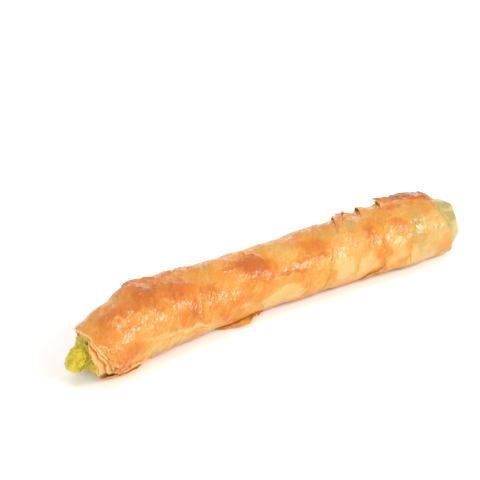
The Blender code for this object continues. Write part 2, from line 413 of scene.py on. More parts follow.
class Skin:
    """The pastry's shared relief: what lies on top follows what lies below, so sheets don't cut through."""

    LUMPS = ((0.35, 61.0, 2, 20.0), (0.30, 37.0, 3, 130.0), (0.22, 23.0, 1, 250.0), (0.16, 14.0, 4, 75.0))
    CALM_PLACES = (-125.0, -92.0, -78.0, -40.0, 20.0, 30.0, 74.0, 84.0, 120.0)
    CALM = (0.45, 0.5, 1.15, 1.15, 0.85, 1.1, 1.1, 0.5, 0.4)
    SWELLS = (
        Area(1.6, 4.8, ((-112, 84), (-84, 90), (-58, 84), (-52, 66), (-84, 64), (-112, 62))),
        Area(0.6, 3.0, ((-24, 80), (-23, 56), (-8, 46), (-4, 66), (-10, 84))),
        Area(0.7, 2.5, ((66, 66), (68, 40), (82, 36), (84, 58), (76, 72))),
        Area(0.5, 3.0, ((12, 62), (14, 44), (30, 42), (30, 64))),
        Area(-0.5, 3.0, ((-76, 112), (-77, 84), (-72, 78), (-70, 108))),
        Area(0.9, 3.5, ((80, 126), (86, 104), (104, 96), (108, 122), (96, 140))),
        Area(2.5, 7.0, ((-94, 104), (-88, 146), (-62, 148), (-48, 126), (-50, 98), (-80, 92))),
    )
    FOLDS = (
        Fold(0.55, 0.8, ((-45, 47), (-41, 42), (-30, 37), (-20, 39), (-12, 34), (-4, 36))),
        Fold(0.70, 0.6, ((-3, 35), (2, 33), (7, 32), (13, 29))),
        Fold(0.55, 0.7, ((7, 49), (11, 42), (15, 45), (19, 41), (26, 45), (30, 38))),
        Fold(0.60, 0.7, ((-35, 76), (-30, 70), (-25, 72), (-22, 66))),
        Fold(0.45, 0.6, ((-28, 33), (-26, 38), (-22, 37), (-21, 31))),
        Fold(0.80, 0.8, ((-84, 90), (-80, 88), (-77, 82), (-74, 84))),
        Fold(0.60, 0.7, ((-81, 100), (-79, 92), (-80, 80))),
        Fold(-0.70, 1.8, ((-75, 122), (-76, 105), (-76, 84))),
        Fold(0.60, 0.7, ((-73, 100), (-71, 84), (-72, 66), (-70, 55))),
        Fold(0.50, 0.6, ((-43, 58), (-44, 50), (-42, 44), (-40, 40))),
        Fold(-0.60, 0.8, ((-36, 118), (-41, 90), (-44, 70), (-46, 52), (-48, 35))),
        Fold(0.60, 0.7, ((-58, 110), (-63, 85), (-66, 60), (-69, 30), (-72, 5))),
        Fold(0.60, 0.6, ((-54, 75), (-57, 52), (-59, 28), (-60, 6))),
        Fold(0.60, 0.6, ((-50, 62), (-52, 40), (-54, 14), (-54, -4))),
        Fold(0.35, 0.5, ((-47, 40), (-49, 20), (-50, -4))),
        Fold(0.50, 0.9, ((-96, 70), (-90, 62), (-86, 48), (-88, 34))),
        Fold(0.40, 0.7, ((-112, 44), (-104, 40), (-97, 47), (-92, 42))),
        Fold(0.55, 0.7, ((-118, 52), (-114, 36), (-111, 18), (-109, 2))),
        Fold(0.45, 0.6, ((-113, 46), (-110, 26), (-107, 6))),
        Fold(0.60, 0.7, ((36, 66), (34, 48), (31, 30), (28, 10), (26, -12))),
        Fold(0.50, 0.6, ((47, 98), (42, 76), (38.5, 56), (34, 34))),
        Fold(0.45, 0.6, ((56, 100), (51, 76), (48, 58), (45, 38), (42, 20))),
        Fold(0.45, 0.6, ((64, 104), (59, 82), (56, 64), (55, 46))),
        Fold(0.40, 0.6, ((72, 96), (66, 78), (62, 62), (60, 40))),
        Fold(0.40, 0.6, ((60, 48), (57, 28), (55, 8), (54, -14))),
        Fold(0.60, 0.9, ((84, 60), (85, 46), (82, 32), (79.5, 16), (78.5, -6), (78, -30))),
        Fold(0.45, 0.7, ((74, 88), (80, 80), (86, 84), (93, 78))),
        Fold(0.40, 0.7, ((90, 106), (96, 98), (104, 100))),
        Fold(0.50, 0.7, ((93, 60), (93.5, 40), (92, 20))),
        Fold(0.45, 0.6, ((99, 56), (100, 38), (98, 18))),
        Fold(0.80, 0.9, ((62.5, -2), (60, -14), (56, -28), (54, -40))),
        Fold(0.60, 0.8, ((62.5, -2), (64, -18), (63, -34))),
    )

    FIRST_SEED = 11
    CALM_RANGE, CALM_CELL = (0.8, 0.9, 0.2, 1.6), 21.0
    PLACED_RANGE, PLACED_CELL = (0.8, 0.8, 0.2, 1.3), 4.0
    LONG_HEIGHT, LONG_CELLS, LONG_SHARPNESS = 0.40, np.array([7.5, 22.0, 22.0]), 5.0
    PLEAT_HEIGHT, PLEAT_CELLS, PLEAT_SHARPNESS, PLEAT_SHIFT = 0.22, np.array([3.8, 7.5, 7.5]), 4.0, 3.0
    DIMPLE_HEIGHT, DIMPLE_CELL = 0.20, 8.0
    BLISTER_HEIGHT, BLISTER_CELLS = 0.11, np.array([1.4, 1.7, 1.7])
    BEND, BEND_CELL = 2.2, 8.0
    WAVER_X, WAVER_X_CELL = 0.9, 5.0
    WAVER_ANGLE, WAVER_ANGLE_CELL = 3.0, 4.0

    def __init__(self) -> None:
        """Prepares the fields of noise."""
        seeds = range(self.FIRST_SEED, self.FIRST_SEED + 6)
        self.folds, self.pleats, self.dimples, self.pebbles, self.calm, self.sway = map(Grain, seeds)

    @staticmethod
    def varied(noise: Array, limits: tuple[float, float, float, float]) -> Array:
        """A share that varies with noise: base + swing * noise, between two limits."""
        base, swing, low, high = limits
        return np.clip(base + swing * noise, low, high)

    def lumps(self, x: Array, angle: Array) -> Array:
        """The low unevenness of the solid: a sum of slanting sine waves."""
        turn = np.radians(angle)
        total = 0.0
        for height, wavelength, waves, phase in self.LUMPS:
            wave = 2.0 * math.pi * x / wavelength + waves * turn + math.radians(phase)
            total = total + height * np.sin(wave)
        return total * FORM.off_underside(angle, FORM.relief_fade)

    def wrinkles(self, x: Array, angle: Array) -> Array:
        """Fine relief: long creases along the wraps, short pleats, dimples, blisters and placed folds.

        Args:
            x: Places along the roll.
            angle: Angles round it.

        Returns:
            Heights in millimetres, of about -0.4 to 0.8.
        """
        x, angle = np.broadcast_arrays(x, angle)
        place = FORM.wound(x, angle)
        bend = place + self.BEND * self.sway.cloud(place / self.BEND_CELL, 2)[..., None]
        calm = np.interp(x, self.CALM_PLACES, self.CALM)
        calm = calm * self.varied(self.calm.at(place / self.CALM_CELL), self.CALM_RANGE)
        long_folds = self.LONG_HEIGHT * self.folds.creases(bend / self.LONG_CELLS, self.LONG_SHARPNESS)
        pleat_place = bend / self.PLEAT_CELLS + self.PLEAT_SHIFT
        short_pleats = self.PLEAT_HEIGHT * self.pleats.creases(pleat_place, self.PLEAT_SHARPNESS)
        dimples = self.DIMPLE_HEIGHT * self.dimples.cloud(place / self.DIMPLE_CELL, 2)
        blisters = self.BLISTER_HEIGHT * self.pebbles.cloud(place / self.BLISTER_CELLS, 2)
        wavy_x = x + self.WAVER_X * self.sway.cloud(place / self.WAVER_X_CELL, 2)
        wavy_angle = angle + self.WAVER_ANGLE * self.calm.cloud(place / self.WAVER_ANGLE_CELL, 2)
        placed = sum(fold.on(wavy_x, wavy_angle) for fold in self.FOLDS)
        placed = placed * self.varied(self.dimples.at(place / self.PLACED_CELL), self.PLACED_RANGE)
        total = calm * (long_folds + short_pleats) + dimples + blisters + placed
        return total * FORM.off_underside(angle, FORM.slant_fade)

    def swells(self, x: Array, angle: Array) -> Array:
        """Broad shoulders and bulges of the skin."""
        x, angle = np.broadcast_arrays(x, angle)
        return sum(area.on(x, angle) for area in self.SWELLS)

    def relief(self, x: Array, angle: Array) -> Array:
        """Lumps, wrinkles and swells together, less their mean height."""
        return self.lumps(x, angle) + self.wrinkles(x, angle) + self.swells(x, angle) - MEAN_RELIEF


class Bake:
    """How the oven coloured the skin: where it is browned, pale, or thin enough to show the filling, with
    painted shade in parts of the see-through tint.
    """

    BROWNED = (
        Area(0.10, 5.0, ((-122, 84), (-86, 92), (-44, 92), (-40, 56), (-84, 44), (-118, 30))),
        Area(0.08, 3.0, ((-90, 92), (-84, 70), (-82, 44), (-76, 40), (-74, 68), (-77, 96))),
        Area(0.15, 1.6, ((-82, 98), (-82, 76), (-77, 72), (-76, 94))),
        Area(0.10, 2.5, ((-70, 76), (-71, 50), (-62, 48), (-60, 70))),
        Area(0.16, 2.0, ((-72, 34), (-66, 36), (-56, 30), (-58, 8), (-66, 4))),
        Area(0.22, 3.0, ((-50, 56), (-50, 32), (-46, 22), (-40, 30), (-41, 58))),
        Area(0.22, 1.5, ((-45, 56), (-45, 47), (-40, 44), (-40, 52))),
        Area(0.22, 1.8, ((-107, 14), (-97, 16), (-93, 6), (-98, -6), (-107, -8))),
        Area(0.20, 3.0, ((-120, -8), (-100, -12), (-84, -24), (-90, -50), (-118, -50))),
        Area(0.17, 2.4, ((-25, 84), (-24, 50), (-12, 40), (-3, 46), (-2, 70), (-8, 92))),
        Area(0.17, 1.2, ((-22, 80), (-21, 56), (-14, 47), (-7, 48), (-5, 62), (-13, 80))),
        Area(0.25, 1.2, ((-33, 74), (-31, 68), (-26, 66), (-27, 74))),
        Area(0.18, 1.8, ((-43, 22), (-28, 24), (-24, 10), (-29, -8), (-42, -16))),
        Area(0.10, 2.0, ((-25, 12), (-14, 8), (-15, -10), (-30, -30), (-44, -30), (-30, -4))),
        Area(0.12, 2.5, ((-14, 46), (4, 44), (6, 30), (-12, 26), (-30, 30))),
        Area(0.20, 3.0, ((14, 72), (18, 50), (30, 46), (34, 62), (28, 80), (20, 84))),
        Area(0.16, 1.4, ((9, 48), (16, 47), (28, 46), (29, 41), (14, 39))),
        Area(0.20, 1.0, ((-2, 37), (6, 33.5), (13, 30.5), (12, 28), (-2, 33))),
        Area(0.13, 1.2, ((43, 96), (38, 62), (35, 40), (37, 40), (41, 60), (46, 94))),
        Area(0.12, 1.2, ((60, 92), (54, 62), (52, 40), (55, 38), (61, 60), (66, 88))),
        Area(0.06, 1.4, ((56, 74), (57, 46), (63, 42), (67, 60), (66, 76))),
        Area(0.13, 1.2, ((70, 66), (74, 40), (80, 34), (84, 44), (83, 58), (77, 66))),
        Area(0.24, 2.0, ((71, 100), (76, 82), (84, 80), (88, 92), (80, 104))),
        Area(0.34, 3.0, ((78, 132), (88, 108), (101, 94), (107, 94), (112, 140), (100, 156))),
        Area(0.30, 1.6, ((103, 108), (101, 88), (104, 70), (106.5, 70), (108, 104))),
        Area(0.20, 2.5, ((100, -6), (107, 2), (112, -30), (98, -34))),
        Area(0.12, 4.0, ((82, 104), (84, 70), (98, 58), (109, 54), (111, 104))),
        Area(0.14, 4.0, ((-40, -40), (40, -38), (60, -60), (-60, -62))),
        Area(0.26, 1.2, ((62, -3), (64.5, -30), (55, -40), (54, -30))),
        Area(0.28, 4.0, ((-104, 172), (-88, 140), (-76, 150), (-84, 190))),
        Area(0.30, 4.0, ((-60, 190), (-44, 140), (-24, 150), (-26, 192))),
        Area(0.26, 4.0, ((0, 170), (12, 134), (24, 142), (18, 184))),
        Area(0.24, 4.0, ((30, 224), (36, 170), (52, 168), (50, 220))),
        Area(0.26, 4.0, ((78, 206), (84, 160), (98, 158), (96, 210))),
    )
    PALE = (
        Area(0.55, 0.9, ((-13, -30), (-14, -8), (-11, 4), (-3, 9), (4, 8), (8, 2), (13, -8), (9, -30))),
        Area(0.40, 1.2, ((-92, -22), (-92, -8), (-84, 0), (-72, -6), (-60, -26))),
        Area(0.75, 0.9, ((-94, 13), (-84, 11), (-70, 8), (-54, -5), (-43, -20), (-55, -14), (-70, 1),
                         (-84, 5))),
        Area(0.14, 6.0, ((80, 95), (78, 20), (78, -40), (112, -40), (112, 70), (98, 84))),
        Area(0.40, 0.8, ((-30, 1), (-27, 3), (-23, 1), (-23, -3), (-27, -5), (-30, -3))),
        Area(0.42, 0.7, ((-107.5, 60), (-105.5, 71), (-102, 71), (-100, 62), (-101, 50), (-105, 48))),
        Area(-0.42, 0.6, ((-105.4, 58), (-104, 65), (-102.4, 63), (-101.8, 55), (-104, 40))),
        Area(0.45, 1.2, ((31, 16), (36, 28), (42, 24), (44, 6), (40, -14), (33, -10))),
        Area(0.50, 1.2, ((48, 16), (54, 22), (60, 6), (58, -16), (48, -26), (46, -6))),
        Area(0.45, 1.5, ((66, 28), (74, 34), (78, 20), (76, -6), (66, -14))),
        Area(0.50, 1.2, ((78, -30), (79, 0), (84, 8), (94, 4), (98, -10), (98, -34))),
        Area(0.32, 1.2, ((90, 60), (102, 62), (106, 30), (100, 0), (92, 6))),
        Area(0.70, 1.5, ((107.5, 110), (118, 110), (118, -30), (110, -30), (107.5, 20))),
        Area(0.30, 3.0, ((-4, 74), (0, 94), (12, 84), (17, 78), (16, 60), (10, 58))),
        Area(0.30, 4.0, ((40, 100), (34, 40), (30, -30), (52, -30), (54, 40), (58, 98))),
        Area(0.30, 1.0, ((-64, 106), (-56, 108), (-54, 100), (-62, 98))),
        Area(0.40, 4.0, ((-70, 196), (-56, 158), (-48, 160), (-58, 200))),
        Area(0.50, 4.0, ((6, 224), (10, 190), (34, 186), (30, 226))),
        Area(0.45, 4.0, ((56, 170), (60, 134), (74, 136), (72, 168))),
    )
    SEE_THROUGH = (
        # Partly painted shade: this area darkens the whole right end, besides showing the filling through
        # its thin pastry.
        Area(0.40, 5.0, ((79, 90), (83, -24), (112, -34), (114, 90))),
        Area(0.30, 1.6, ((-2, 92), (-1, 64), (6, 56), (15, 62), (16, 92), (6, 100))),
        Area(0.45, 1.4, ((26, 92), (30, 72), (38, 68), (41, 84), (38, 98))),
        Area(0.50, 1.2, ((47, 94), (45, 66), (50, 58), (56, 84), (55, 100))),
        Area(0.70, 0.9, ((84, 38), (83.5, 6), (88, -4), (92, 12), (90, 36), (86.5, 42))),
        Area(0.60, 0.9, ((85.5, 68), (84.5, 46), (88, 40), (91, 54), (90.5, 68))),
        Area(0.35, 0.9, ((79, 18), (80, 8), (84, 10), (84, 20))),
        Area(0.75, 1.2, ((110, 90), (118, 92), (118, 70), (110, 68))),
        Area(0.50, 1.0, ((110, 58), (118, 60), (118, 40), (110, 42))),
        # Painted shade: these two tint a hollow and a groove on the top olive, where the skin dips.
        Area(0.38, 2.2, ((-78, 124), (-78, 84), (-73, 84), (-72, 122))),
        Area(0.40, 1.6, ((-43, 106), (-44, 84), (-39, 84), (-37, 106))),
        Area(0.28, 4.0, ((-116, 112), (-112, 88), (-90, 88), (-88, 110))),
        Area(0.40, 4.0, ((-22, 206), (-14, 170), (0, 172), (-4, 208))),
        Area(0.40, 4.0, ((50, 216), (56, 184), (70, 182), (66, 218))),
    )

    FIRST_SEED = 31
    BASE, LEFTWARDS, UPWARDS = 0.30, 0.03, 0.05
    WARP_X, WARP_ANGLE, WARP_CELL = 2.4, 7.0, 8.0
    BLOTCH, BLOTCH_CELLS = 0.09, np.array([11.0, 15.0, 15.0])
    MOTTLE, MOTTLE_CELLS = 0.05, np.array([2.6, 5.0, 5.0])
    VEIL, VEIL_CELL = 0.14, 10.0
    BROWNED_SHARE, PALE_LOSS = 0.9, 0.35
    DARK, DARK_SLOPE = 0.6, 0.45

    def __init__(self) -> None:
        """Prepares the fields of noise."""
        seeds = range(self.FIRST_SEED, self.FIRST_SEED + 5)
        self.warp_x, self.warp_angle, self.blotch, self.mottle, self.wander = map(Grain, seeds)

    def masks(self, x: Array, angle: Array) -> dict[str, Array]:
        """Works out how far each place is browned, pale and see-through; the see-through is in places
        painted shade.

        A place is first moved by noise, so that the areas' outlines wander, and the areas' weights
        there are added up over a base that grows towards the left end and the top. Past dark, the
        browning rises more slowly.

        Args:
            x: Places along the roll.
            angle: Angles round it.

        Returns:
            The masks by name, each from 0 to 1.
        """
        x, angle = np.broadcast_arrays(x, angle)
        place = FORM.wound(x, angle)
        moved_x = x + self.WARP_X * self.warp_x.cloud(place / self.WARP_CELL, 3)
        moved_angle = angle + self.WARP_ANGLE * self.warp_angle.cloud(place / self.WARP_CELL, 3)
        browned, pale, thin = (sum(area.on(moved_x, moved_angle) for area in areas)
                               for areas in (self.BROWNED, self.PALE, self.SEE_THROUGH))
        leftwards = self.LEFTWARDS * np.clip(-x / FORM.half_length, -1.0, 1.0)
        upwards = self.UPWARDS * np.sin(np.radians(angle))
        blotch = self.BLOTCH * self.blotch.cloud(place / self.BLOTCH_CELLS, 3)
        mottle = self.MOTTLE * self.mottle.cloud(place / self.MOTTLE_CELLS, 3)
        base = self.BASE + leftwards + upwards + blotch + mottle
        veil = self.VEIL * np.clip(self.wander.cloud(place / self.VEIL_CELL, 2), 0.0, 1.0)
        browned = base + self.BROWNED_SHARE * browned - self.PALE_LOSS * pale
        slowed = self.DARK + self.DARK_SLOPE * (browned - self.DARK)
        return {
            "browned": np.clip(np.where(browned > self.DARK, slowed, browned), 0.0, 1.0),
            "pale": np.clip(pale + veil, 0.0, 1.0),
            "see_through": np.clip(thin, 0.0, 1.0),
        }


SKIN = Skin()
BAKE = Bake()


class Mesh:
    """Turns grids of points into mesh objects at the origin."""

    @staticmethod
    def grid_faces(rows: int, columns: int, close_rows: bool, close_columns: bool) -> Array:
        """Quads of a grid, wound so that (along a row) x (to the next row) points outwards.

        Args:
            rows: Rows of points.
            columns: Points in each row.
            close_rows: Whether the last row joins the first.
            close_columns: Whether a row's last point joins its first.

        Returns:
            (faces, 4) indices into the flattened grid.
        """
        row = np.arange(rows if close_rows else rows - 1)[:, None]
        column = np.arange(columns if close_columns else columns - 1)[None, :]
        next_row, next_column = (row + 1) % rows, (column + 1) % columns
        corners = ((row, column), (row, next_column), (next_row, next_column), (next_row, column))
        return np.stack([r * columns + c for r, c in corners], axis=-1).reshape(-1, 4)

    @staticmethod
    def make(name: str, points: Array, faces: Sequence[Array],
             values: dict[str, Array]) -> bpy.types.Object:
        """Makes an object of points and faces, smoothly shaded, with the values as attributes.

        Args:
            name: The piece's name.
            points: (..., 3) in metres.
            faces: Arrays of faces, each (count, corners).
            values: Numbers or vectors for each point, by attribute name.

        Returns:
            The new object, linked to the scene.
        """
        mesh = bpy.data.meshes.new(name)
        flat = np.ascontiguousarray(points.reshape(-1, 3), dtype=np.float32)
        corners = np.concatenate([face.reshape(-1) for face in faces]).astype(np.int32)
        sizes = np.concatenate([np.full(len(face), face.shape[1]) for face in faces])
        starts = np.concatenate([[0], np.cumsum(sizes)[:-1]]).astype(np.int32)
        mesh.vertices.add(len(flat))
        mesh.vertices.foreach_set("co", flat.ravel())
        mesh.loops.add(len(corners))
        mesh.loops.foreach_set("vertex_index", corners)
        mesh.polygons.add(len(sizes))
        mesh.polygons.foreach_set("loop_start", starts)
        mesh.update(calc_edges=True)
        mesh.validate()
        mesh.shade_smooth()
        for key, value in values.items():
            vector = value.shape[-1:] == (3,) and value.size == flat.size
            kind, member = ("FLOAT_VECTOR", "vector") if vector else ("FLOAT", "value")
            attribute = mesh.attributes.new(key, kind, "POINT")
            attribute.data.foreach_set(member, np.ascontiguousarray(value, dtype=np.float32).ravel())
        made = bpy.data.objects.new(name, mesh)
        bpy.context.scene.collection.objects.link(made)
        return made


def dress(piece: bpy.types.Object, material: bpy.types.Material) -> bpy.types.Object:
    """Gives a piece its material, body and material slot, and reports it.

    Args:
        piece: A finished piece.
        material: Its material.

    Returns:
        The same piece.
    """
    piece.data.materials.append(material)
    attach(piece, BODY)
    LOG.info("%s: %d faces", piece.name, len(piece.data.polygons))
    return piece


def skin_values(x: Array, angle: Array, edge: Array, relief: Array) -> dict[str, Array]:
    """The attributes that the pastry's material reads.

    Args:
        x: Places along the roll.
        angle: Angles round it.
        edge: How near each place is to a free edge, from 0 to 1.
        relief: The skin's relief there, in millimetres.

    Returns:
        Values by attribute name.
    """
    x, angle, edge, relief = np.broadcast_arrays(x, angle, edge, relief)
    values = BAKE.masks(x, angle)
    values["crest"] = np.clip(relief + MEAN_RELIEF, 0.0, 1.0)
    values["edge"] = edge
    values["wound"] = FORM.wound(x, angle) * MM
    return values


class Socket:
    """A shader value that is added, multiplied and so on as in Python, through Math nodes."""

    def __init__(self, graph: "Graph", socket: bpy.types.NodeSocket) -> None:
        """Wraps an output socket of the graph."""
        self.graph = graph
        self.socket = socket

    def __add__(self, other: Any) -> "Socket":
        """self + other."""
        return self.graph.math("ADD", self, other)

    def __sub__(self, other: Any) -> "Socket":
        """self - other."""
        return self.graph.math("SUBTRACT", self, other)

    def __rsub__(self, other: Any) -> "Socket":
        """other - self."""
        return self.graph.math("SUBTRACT", other, self)

    def __mul__(self, other: Any) -> "Socket":
        """self * other."""
        return self.graph.math("MULTIPLY", self, other)

    __radd__ = __add__
    __rmul__ = __mul__

    def within(self, low: float, high: float) -> "Socket":
        """Eases from 0 at low to 1 at high, and stays there beyond them."""
        settings = {"interpolation_type": "SMOOTHSTEP"}
        inputs = {"Value": self, "From Min": low, "From Max": high}
        return self.graph.out(self.graph.node("ShaderNodeMapRange", settings, inputs), "Result")

    def swing(self, size: float) -> "Socket":
        """How far a value is from its middle, 0.5, times a size."""
        return (self - 0.5) * size


class Graph:
    """Builds one material's nodes."""

    def __init__(self, name: str) -> None:
        """Starts an empty material.

        Args:
            name: The material's name.
        """
        self.material = bpy.data.materials.new(name)
        self.material.use_nodes = True
        self.tree = self.material.node_tree
        self.tree.nodes.clear()

    def node(self, kind: str, settings: dict[str, Any] | None = None,
             inputs: dict[Any, Any] | None = None) -> bpy.types.Node:
        """Adds a node: its settings first, then the values or links of its sockets.

        Args:
            kind: The node's type.
            settings: Properties by name; "stops" is a colour ramp's list of (place, colour).
            inputs: Values, sockets or wrapped sockets, by socket name or number.

        Returns:
            The node.
        """
        made = self.tree.nodes.new(kind)
        for key, value in (settings or {}).items():
            if key == "stops":
                self.set_stops(made.color_ramp, value)
            else:
                setattr(made, key, value)
        for key, value in (inputs or {}).items():
            socket = made.inputs[key]
            if isinstance(value, Socket):
                self.tree.links.new(value.socket, socket)
            else:
                socket.default_value = value
        return made

    @staticmethod
    def set_stops(ramp: bpy.types.ColorRamp, stops: Stops) -> None:
        """Gives a colour ramp its stops.

        Args:
            ramp: The ramp.
            stops: (place, (red, green, blue)), in rising order.
        """
        while len(ramp.elements) < len(stops):
            ramp.elements.new(1.0)
        for element, (place, colour) in zip(ramp.elements, stops):
            element.position = place
            element.color = (*colour, 1.0)

    def out(self, node: bpy.types.Node, key: Any = 0) -> Socket:
        """Wraps a node's output."""
        return Socket(self, node.outputs[key])

    def math(self, operation: str, first: Any, second: Any) -> Socket:
        """A Math node on two values."""
        return self.out(self.node("ShaderNodeMath", {"operation": operation}, {0: first, 1: second}))

    def attribute(self, name: str, output: str = "Fac") -> Socket:
        """Reads one of the piece's attributes."""
        return self.out(self.node("ShaderNodeAttribute", {"attribute_name": name}), output)

    def place(self) -> Socket:
        """The place in the frame, in metres."""
        return self.out(self.node("ShaderNodeTexCoord"), "Object")

    def stretched(self, vector: Socket, scale: Sequence[float]) -> Socket:
        """A vector times another, part by part."""
        made = self.node("ShaderNodeVectorMath", {"operation": "MULTIPLY"}, {0: vector, 1: tuple(scale)})
        return self.out(made)

    def noise(self, vector: Socket, scale: float, detail: float = 3.0, distortion: float = 0.0) -> Socket:
        """Smooth noise of about 0 to 1, with so many cells a metre."""
        inputs = {"Vector": vector, "Scale": scale, "Detail": detail, "Distortion": distortion}
        return self.out(self.node("ShaderNodeTexNoise", None, inputs), "Fac")

    def mix(self, share: Any, low: Any, high: Any) -> Socket:
        """Blends two colours by a share."""
        made = self.node("ShaderNodeMix", {"data_type": "RGBA", "clamp_factor": True})
        for index, value in ((0, share), (6, low), (7, high)):
            if isinstance(value, Socket):
                self.tree.links.new(value.socket, made.inputs[index])
            elif index == 0:
                made.inputs[index].default_value = value
            else:
                made.inputs[index].default_value = (*value, 1.0)
        return self.out(made, 2)

    def ramp(self, share: Socket, stops: Stops) -> Socket:
        """A colour ramp."""
        return self.out(self.node("ShaderNodeValToRGB", {"stops": stops}, {"Fac": share}), "Color")

    def bump(self, height: Socket, strength: float, distance: float) -> Socket:
        """Tilts the surface by a height of so many metres."""
        inputs = {"Height": height, "Strength": strength, "Distance": distance}
        return self.out(self.node("ShaderNodeBump", None, inputs), "Normal")

    def finish(self, inputs: dict[str, Any]) -> bpy.types.Material:
        """Ends the material in a Principled shader.

        Args:
            inputs: Its sockets' values or links, by name.

        Returns:
            The material.
        """
        shader = self.node("ShaderNodeBsdfPrincipled", None, inputs)
        self.node("ShaderNodeOutputMaterial", None, {"Surface": self.out(shader)})
        return self.material


@dataclass(frozen=True)
class FiloFinish:
    """Baked filo: pale to brown with the bake, brushed with oil and egg, faintly see-through."""

    name: str = "baked_filo"
    ramp: Stops = (
        (0.0, (0.65, 0.385, 0.092)),
        (0.20, (0.64, 0.298, 0.043)),
        (0.38, (0.62, 0.222, 0.021)),
        (0.54, (0.57, 0.163, 0.012)),
        (0.70, (0.49, 0.122, 0.007)),
        (0.88, (0.40, 0.090, 0.009)),
        (1.0, (0.30, 0.062, 0.007)),
    )
    pale_colour: Colour = (0.66, 0.415, 0.165)
    thin_colour: Colour = (0.43, 0.272, 0.060)
    # Near free edges the colour turns lighter: partly the edges' own tone and partly painted light on the
    # lips' step faces, which lie in shade.
    edge_colour: Colour = (0.72, 0.36, 0.09)
    roughness: float = 0.38
    specular: float = 0.28
    coat_roughness: float = 0.17
    subsurface: float = 0.22

    ALONG_WRAPS, BROAD_PATCH, LONG_PATCH = (1.0, 0.22, 0.22), (1.0, 0.7, 0.7), (1.0, 0.6, 0.6)
    STREAK_CELLS, SPECKLE_CELLS, MOTTLE_CELLS = 1300.0, 2600.0, 420.0
    SHEET_CELLS, POCKET_CELLS, GLINT_CELLS, CLUSTER_CELLS = 95.0, 210.0, 850.0, 160.0
    STREAK_BROWN, MOTTLE_BROWN, SPECKLE_BROWN, SHEET_BROWN, CREST_BROWN = 0.08, 0.08, 0.05, 0.07, 0.17
    SHEET_RANGE, CREST_RANGE, FLAT_CREST = (0.49, 0.54), (0.3, 0.85), 0.2
    PALE_RANGE, PALE_SWING, PALE_SHARE = (0.05, 0.95), 0.5, 0.75
    POCKET_RANGE, BAKED_RANGE, POCKET_SHARE = (0.56, 0.60), (0.38, 0.55), 0.18
    THIN_RANGE, THIN_SWING, THIN_SHARE = (0.2, 0.62), 0.45, 0.7
    EDGE_RANGE, EDGE_SWING, EDGE_SHARE = (0.35, 1.1), 0.5, 0.65
    GLINT_RANGE, CLUSTER_SWING, COAT_BASE, COAT_SHINE = (0.50, 0.56), 0.45, 0.09, 0.66
    ROUGH_SWING, GLINT_HEIGHT, STREAK_HEIGHT = 0.25, 0.7, 0.3

    def make(self) -> bpy.types.Material:
        """Builds the material from the piece's masks and from noise along and across the wraps.

        Returns:
            The material.
        """
        graph = Graph(self.name)
        place = graph.place()
        wound = graph.attribute("wound", "Vector")
        streaks = graph.noise(graph.stretched(wound, self.ALONG_WRAPS), self.STREAK_CELLS, 3.0, 0.6)
        speckle = graph.noise(place, self.SPECKLE_CELLS, 2.0)
        mottle = graph.noise(place, self.MOTTLE_CELLS, 4.0, 0.8)
        sheets = graph.noise(graph.stretched(wound, self.BROAD_PATCH), self.SHEET_CELLS, 3.0, 1.4)
        pockets = graph.noise(graph.stretched(wound, self.LONG_PATCH), self.POCKET_CELLS, 3.0, 1.8)
        baked = graph.attribute("browned")
        crest = graph.attribute("crest").within(*self.CREST_RANGE) - self.FLAT_CREST
        browned = baked + streaks.swing(self.STREAK_BROWN) + mottle.swing(self.MOTTLE_BROWN)
        browned = browned + speckle.swing(self.SPECKLE_BROWN)
        browned = browned + sheets.within(*self.SHEET_RANGE).swing(self.SHEET_BROWN)
        colour = graph.ramp(browned + crest * self.CREST_BROWN, self.ramp)
        pale = (graph.attribute("pale") + mottle.swing(self.PALE_SWING)).within(*self.PALE_RANGE)
        unbaked = 1.0 - baked.within(*self.BAKED_RANGE)
        pocket = pockets.within(*self.POCKET_RANGE) * unbaked * self.POCKET_SHARE
        colour = graph.mix(pale * self.PALE_SHARE + pocket, colour, self.pale_colour)
        # The see-through tint shows the filling through thin pastry, and in places it is painted shade.
        thin = (graph.attribute("see_through") + mottle.swing(self.THIN_SWING)).within(*self.THIN_RANGE)
        colour = graph.mix(thin * self.THIN_SHARE, colour, self.thin_colour)
        # Partly painted light: the lighter edge colour lifts the shaded step faces of the lips.
        edge = (graph.attribute("edge") + mottle.swing(self.EDGE_SWING)).within(*self.EDGE_RANGE)
        colour = graph.mix(edge * self.EDGE_SHARE, colour, self.edge_colour)
        glints = graph.noise(graph.stretched(wound, self.BROAD_PATCH), self.GLINT_CELLS, 2.0, 1.0)
        clusters = graph.noise(wound, self.CLUSTER_CELLS, 2.0, 0.6)
        shiny = (glints + clusters.swing(self.CLUSTER_SWING)).within(*self.GLINT_RANGE)
        height = glints * self.GLINT_HEIGHT + streaks * self.STREAK_HEIGHT
        return graph.finish({
            "Base Color": colour,
            "Roughness": self.roughness + mottle.swing(self.ROUGH_SWING),
            "IOR": 1.5,
            "Specular IOR Level": self.specular,
            "Subsurface Weight": self.subsurface,
            "Subsurface Radius": (1.0, 0.45, 0.16),
            "Subsurface Scale": 0.0022,
            "Coat Weight": shiny * self.COAT_SHINE + self.COAT_BASE,
            "Coat Roughness": self.coat_roughness,
            "Normal": graph.bump(height, 0.6, 0.0003),
        })


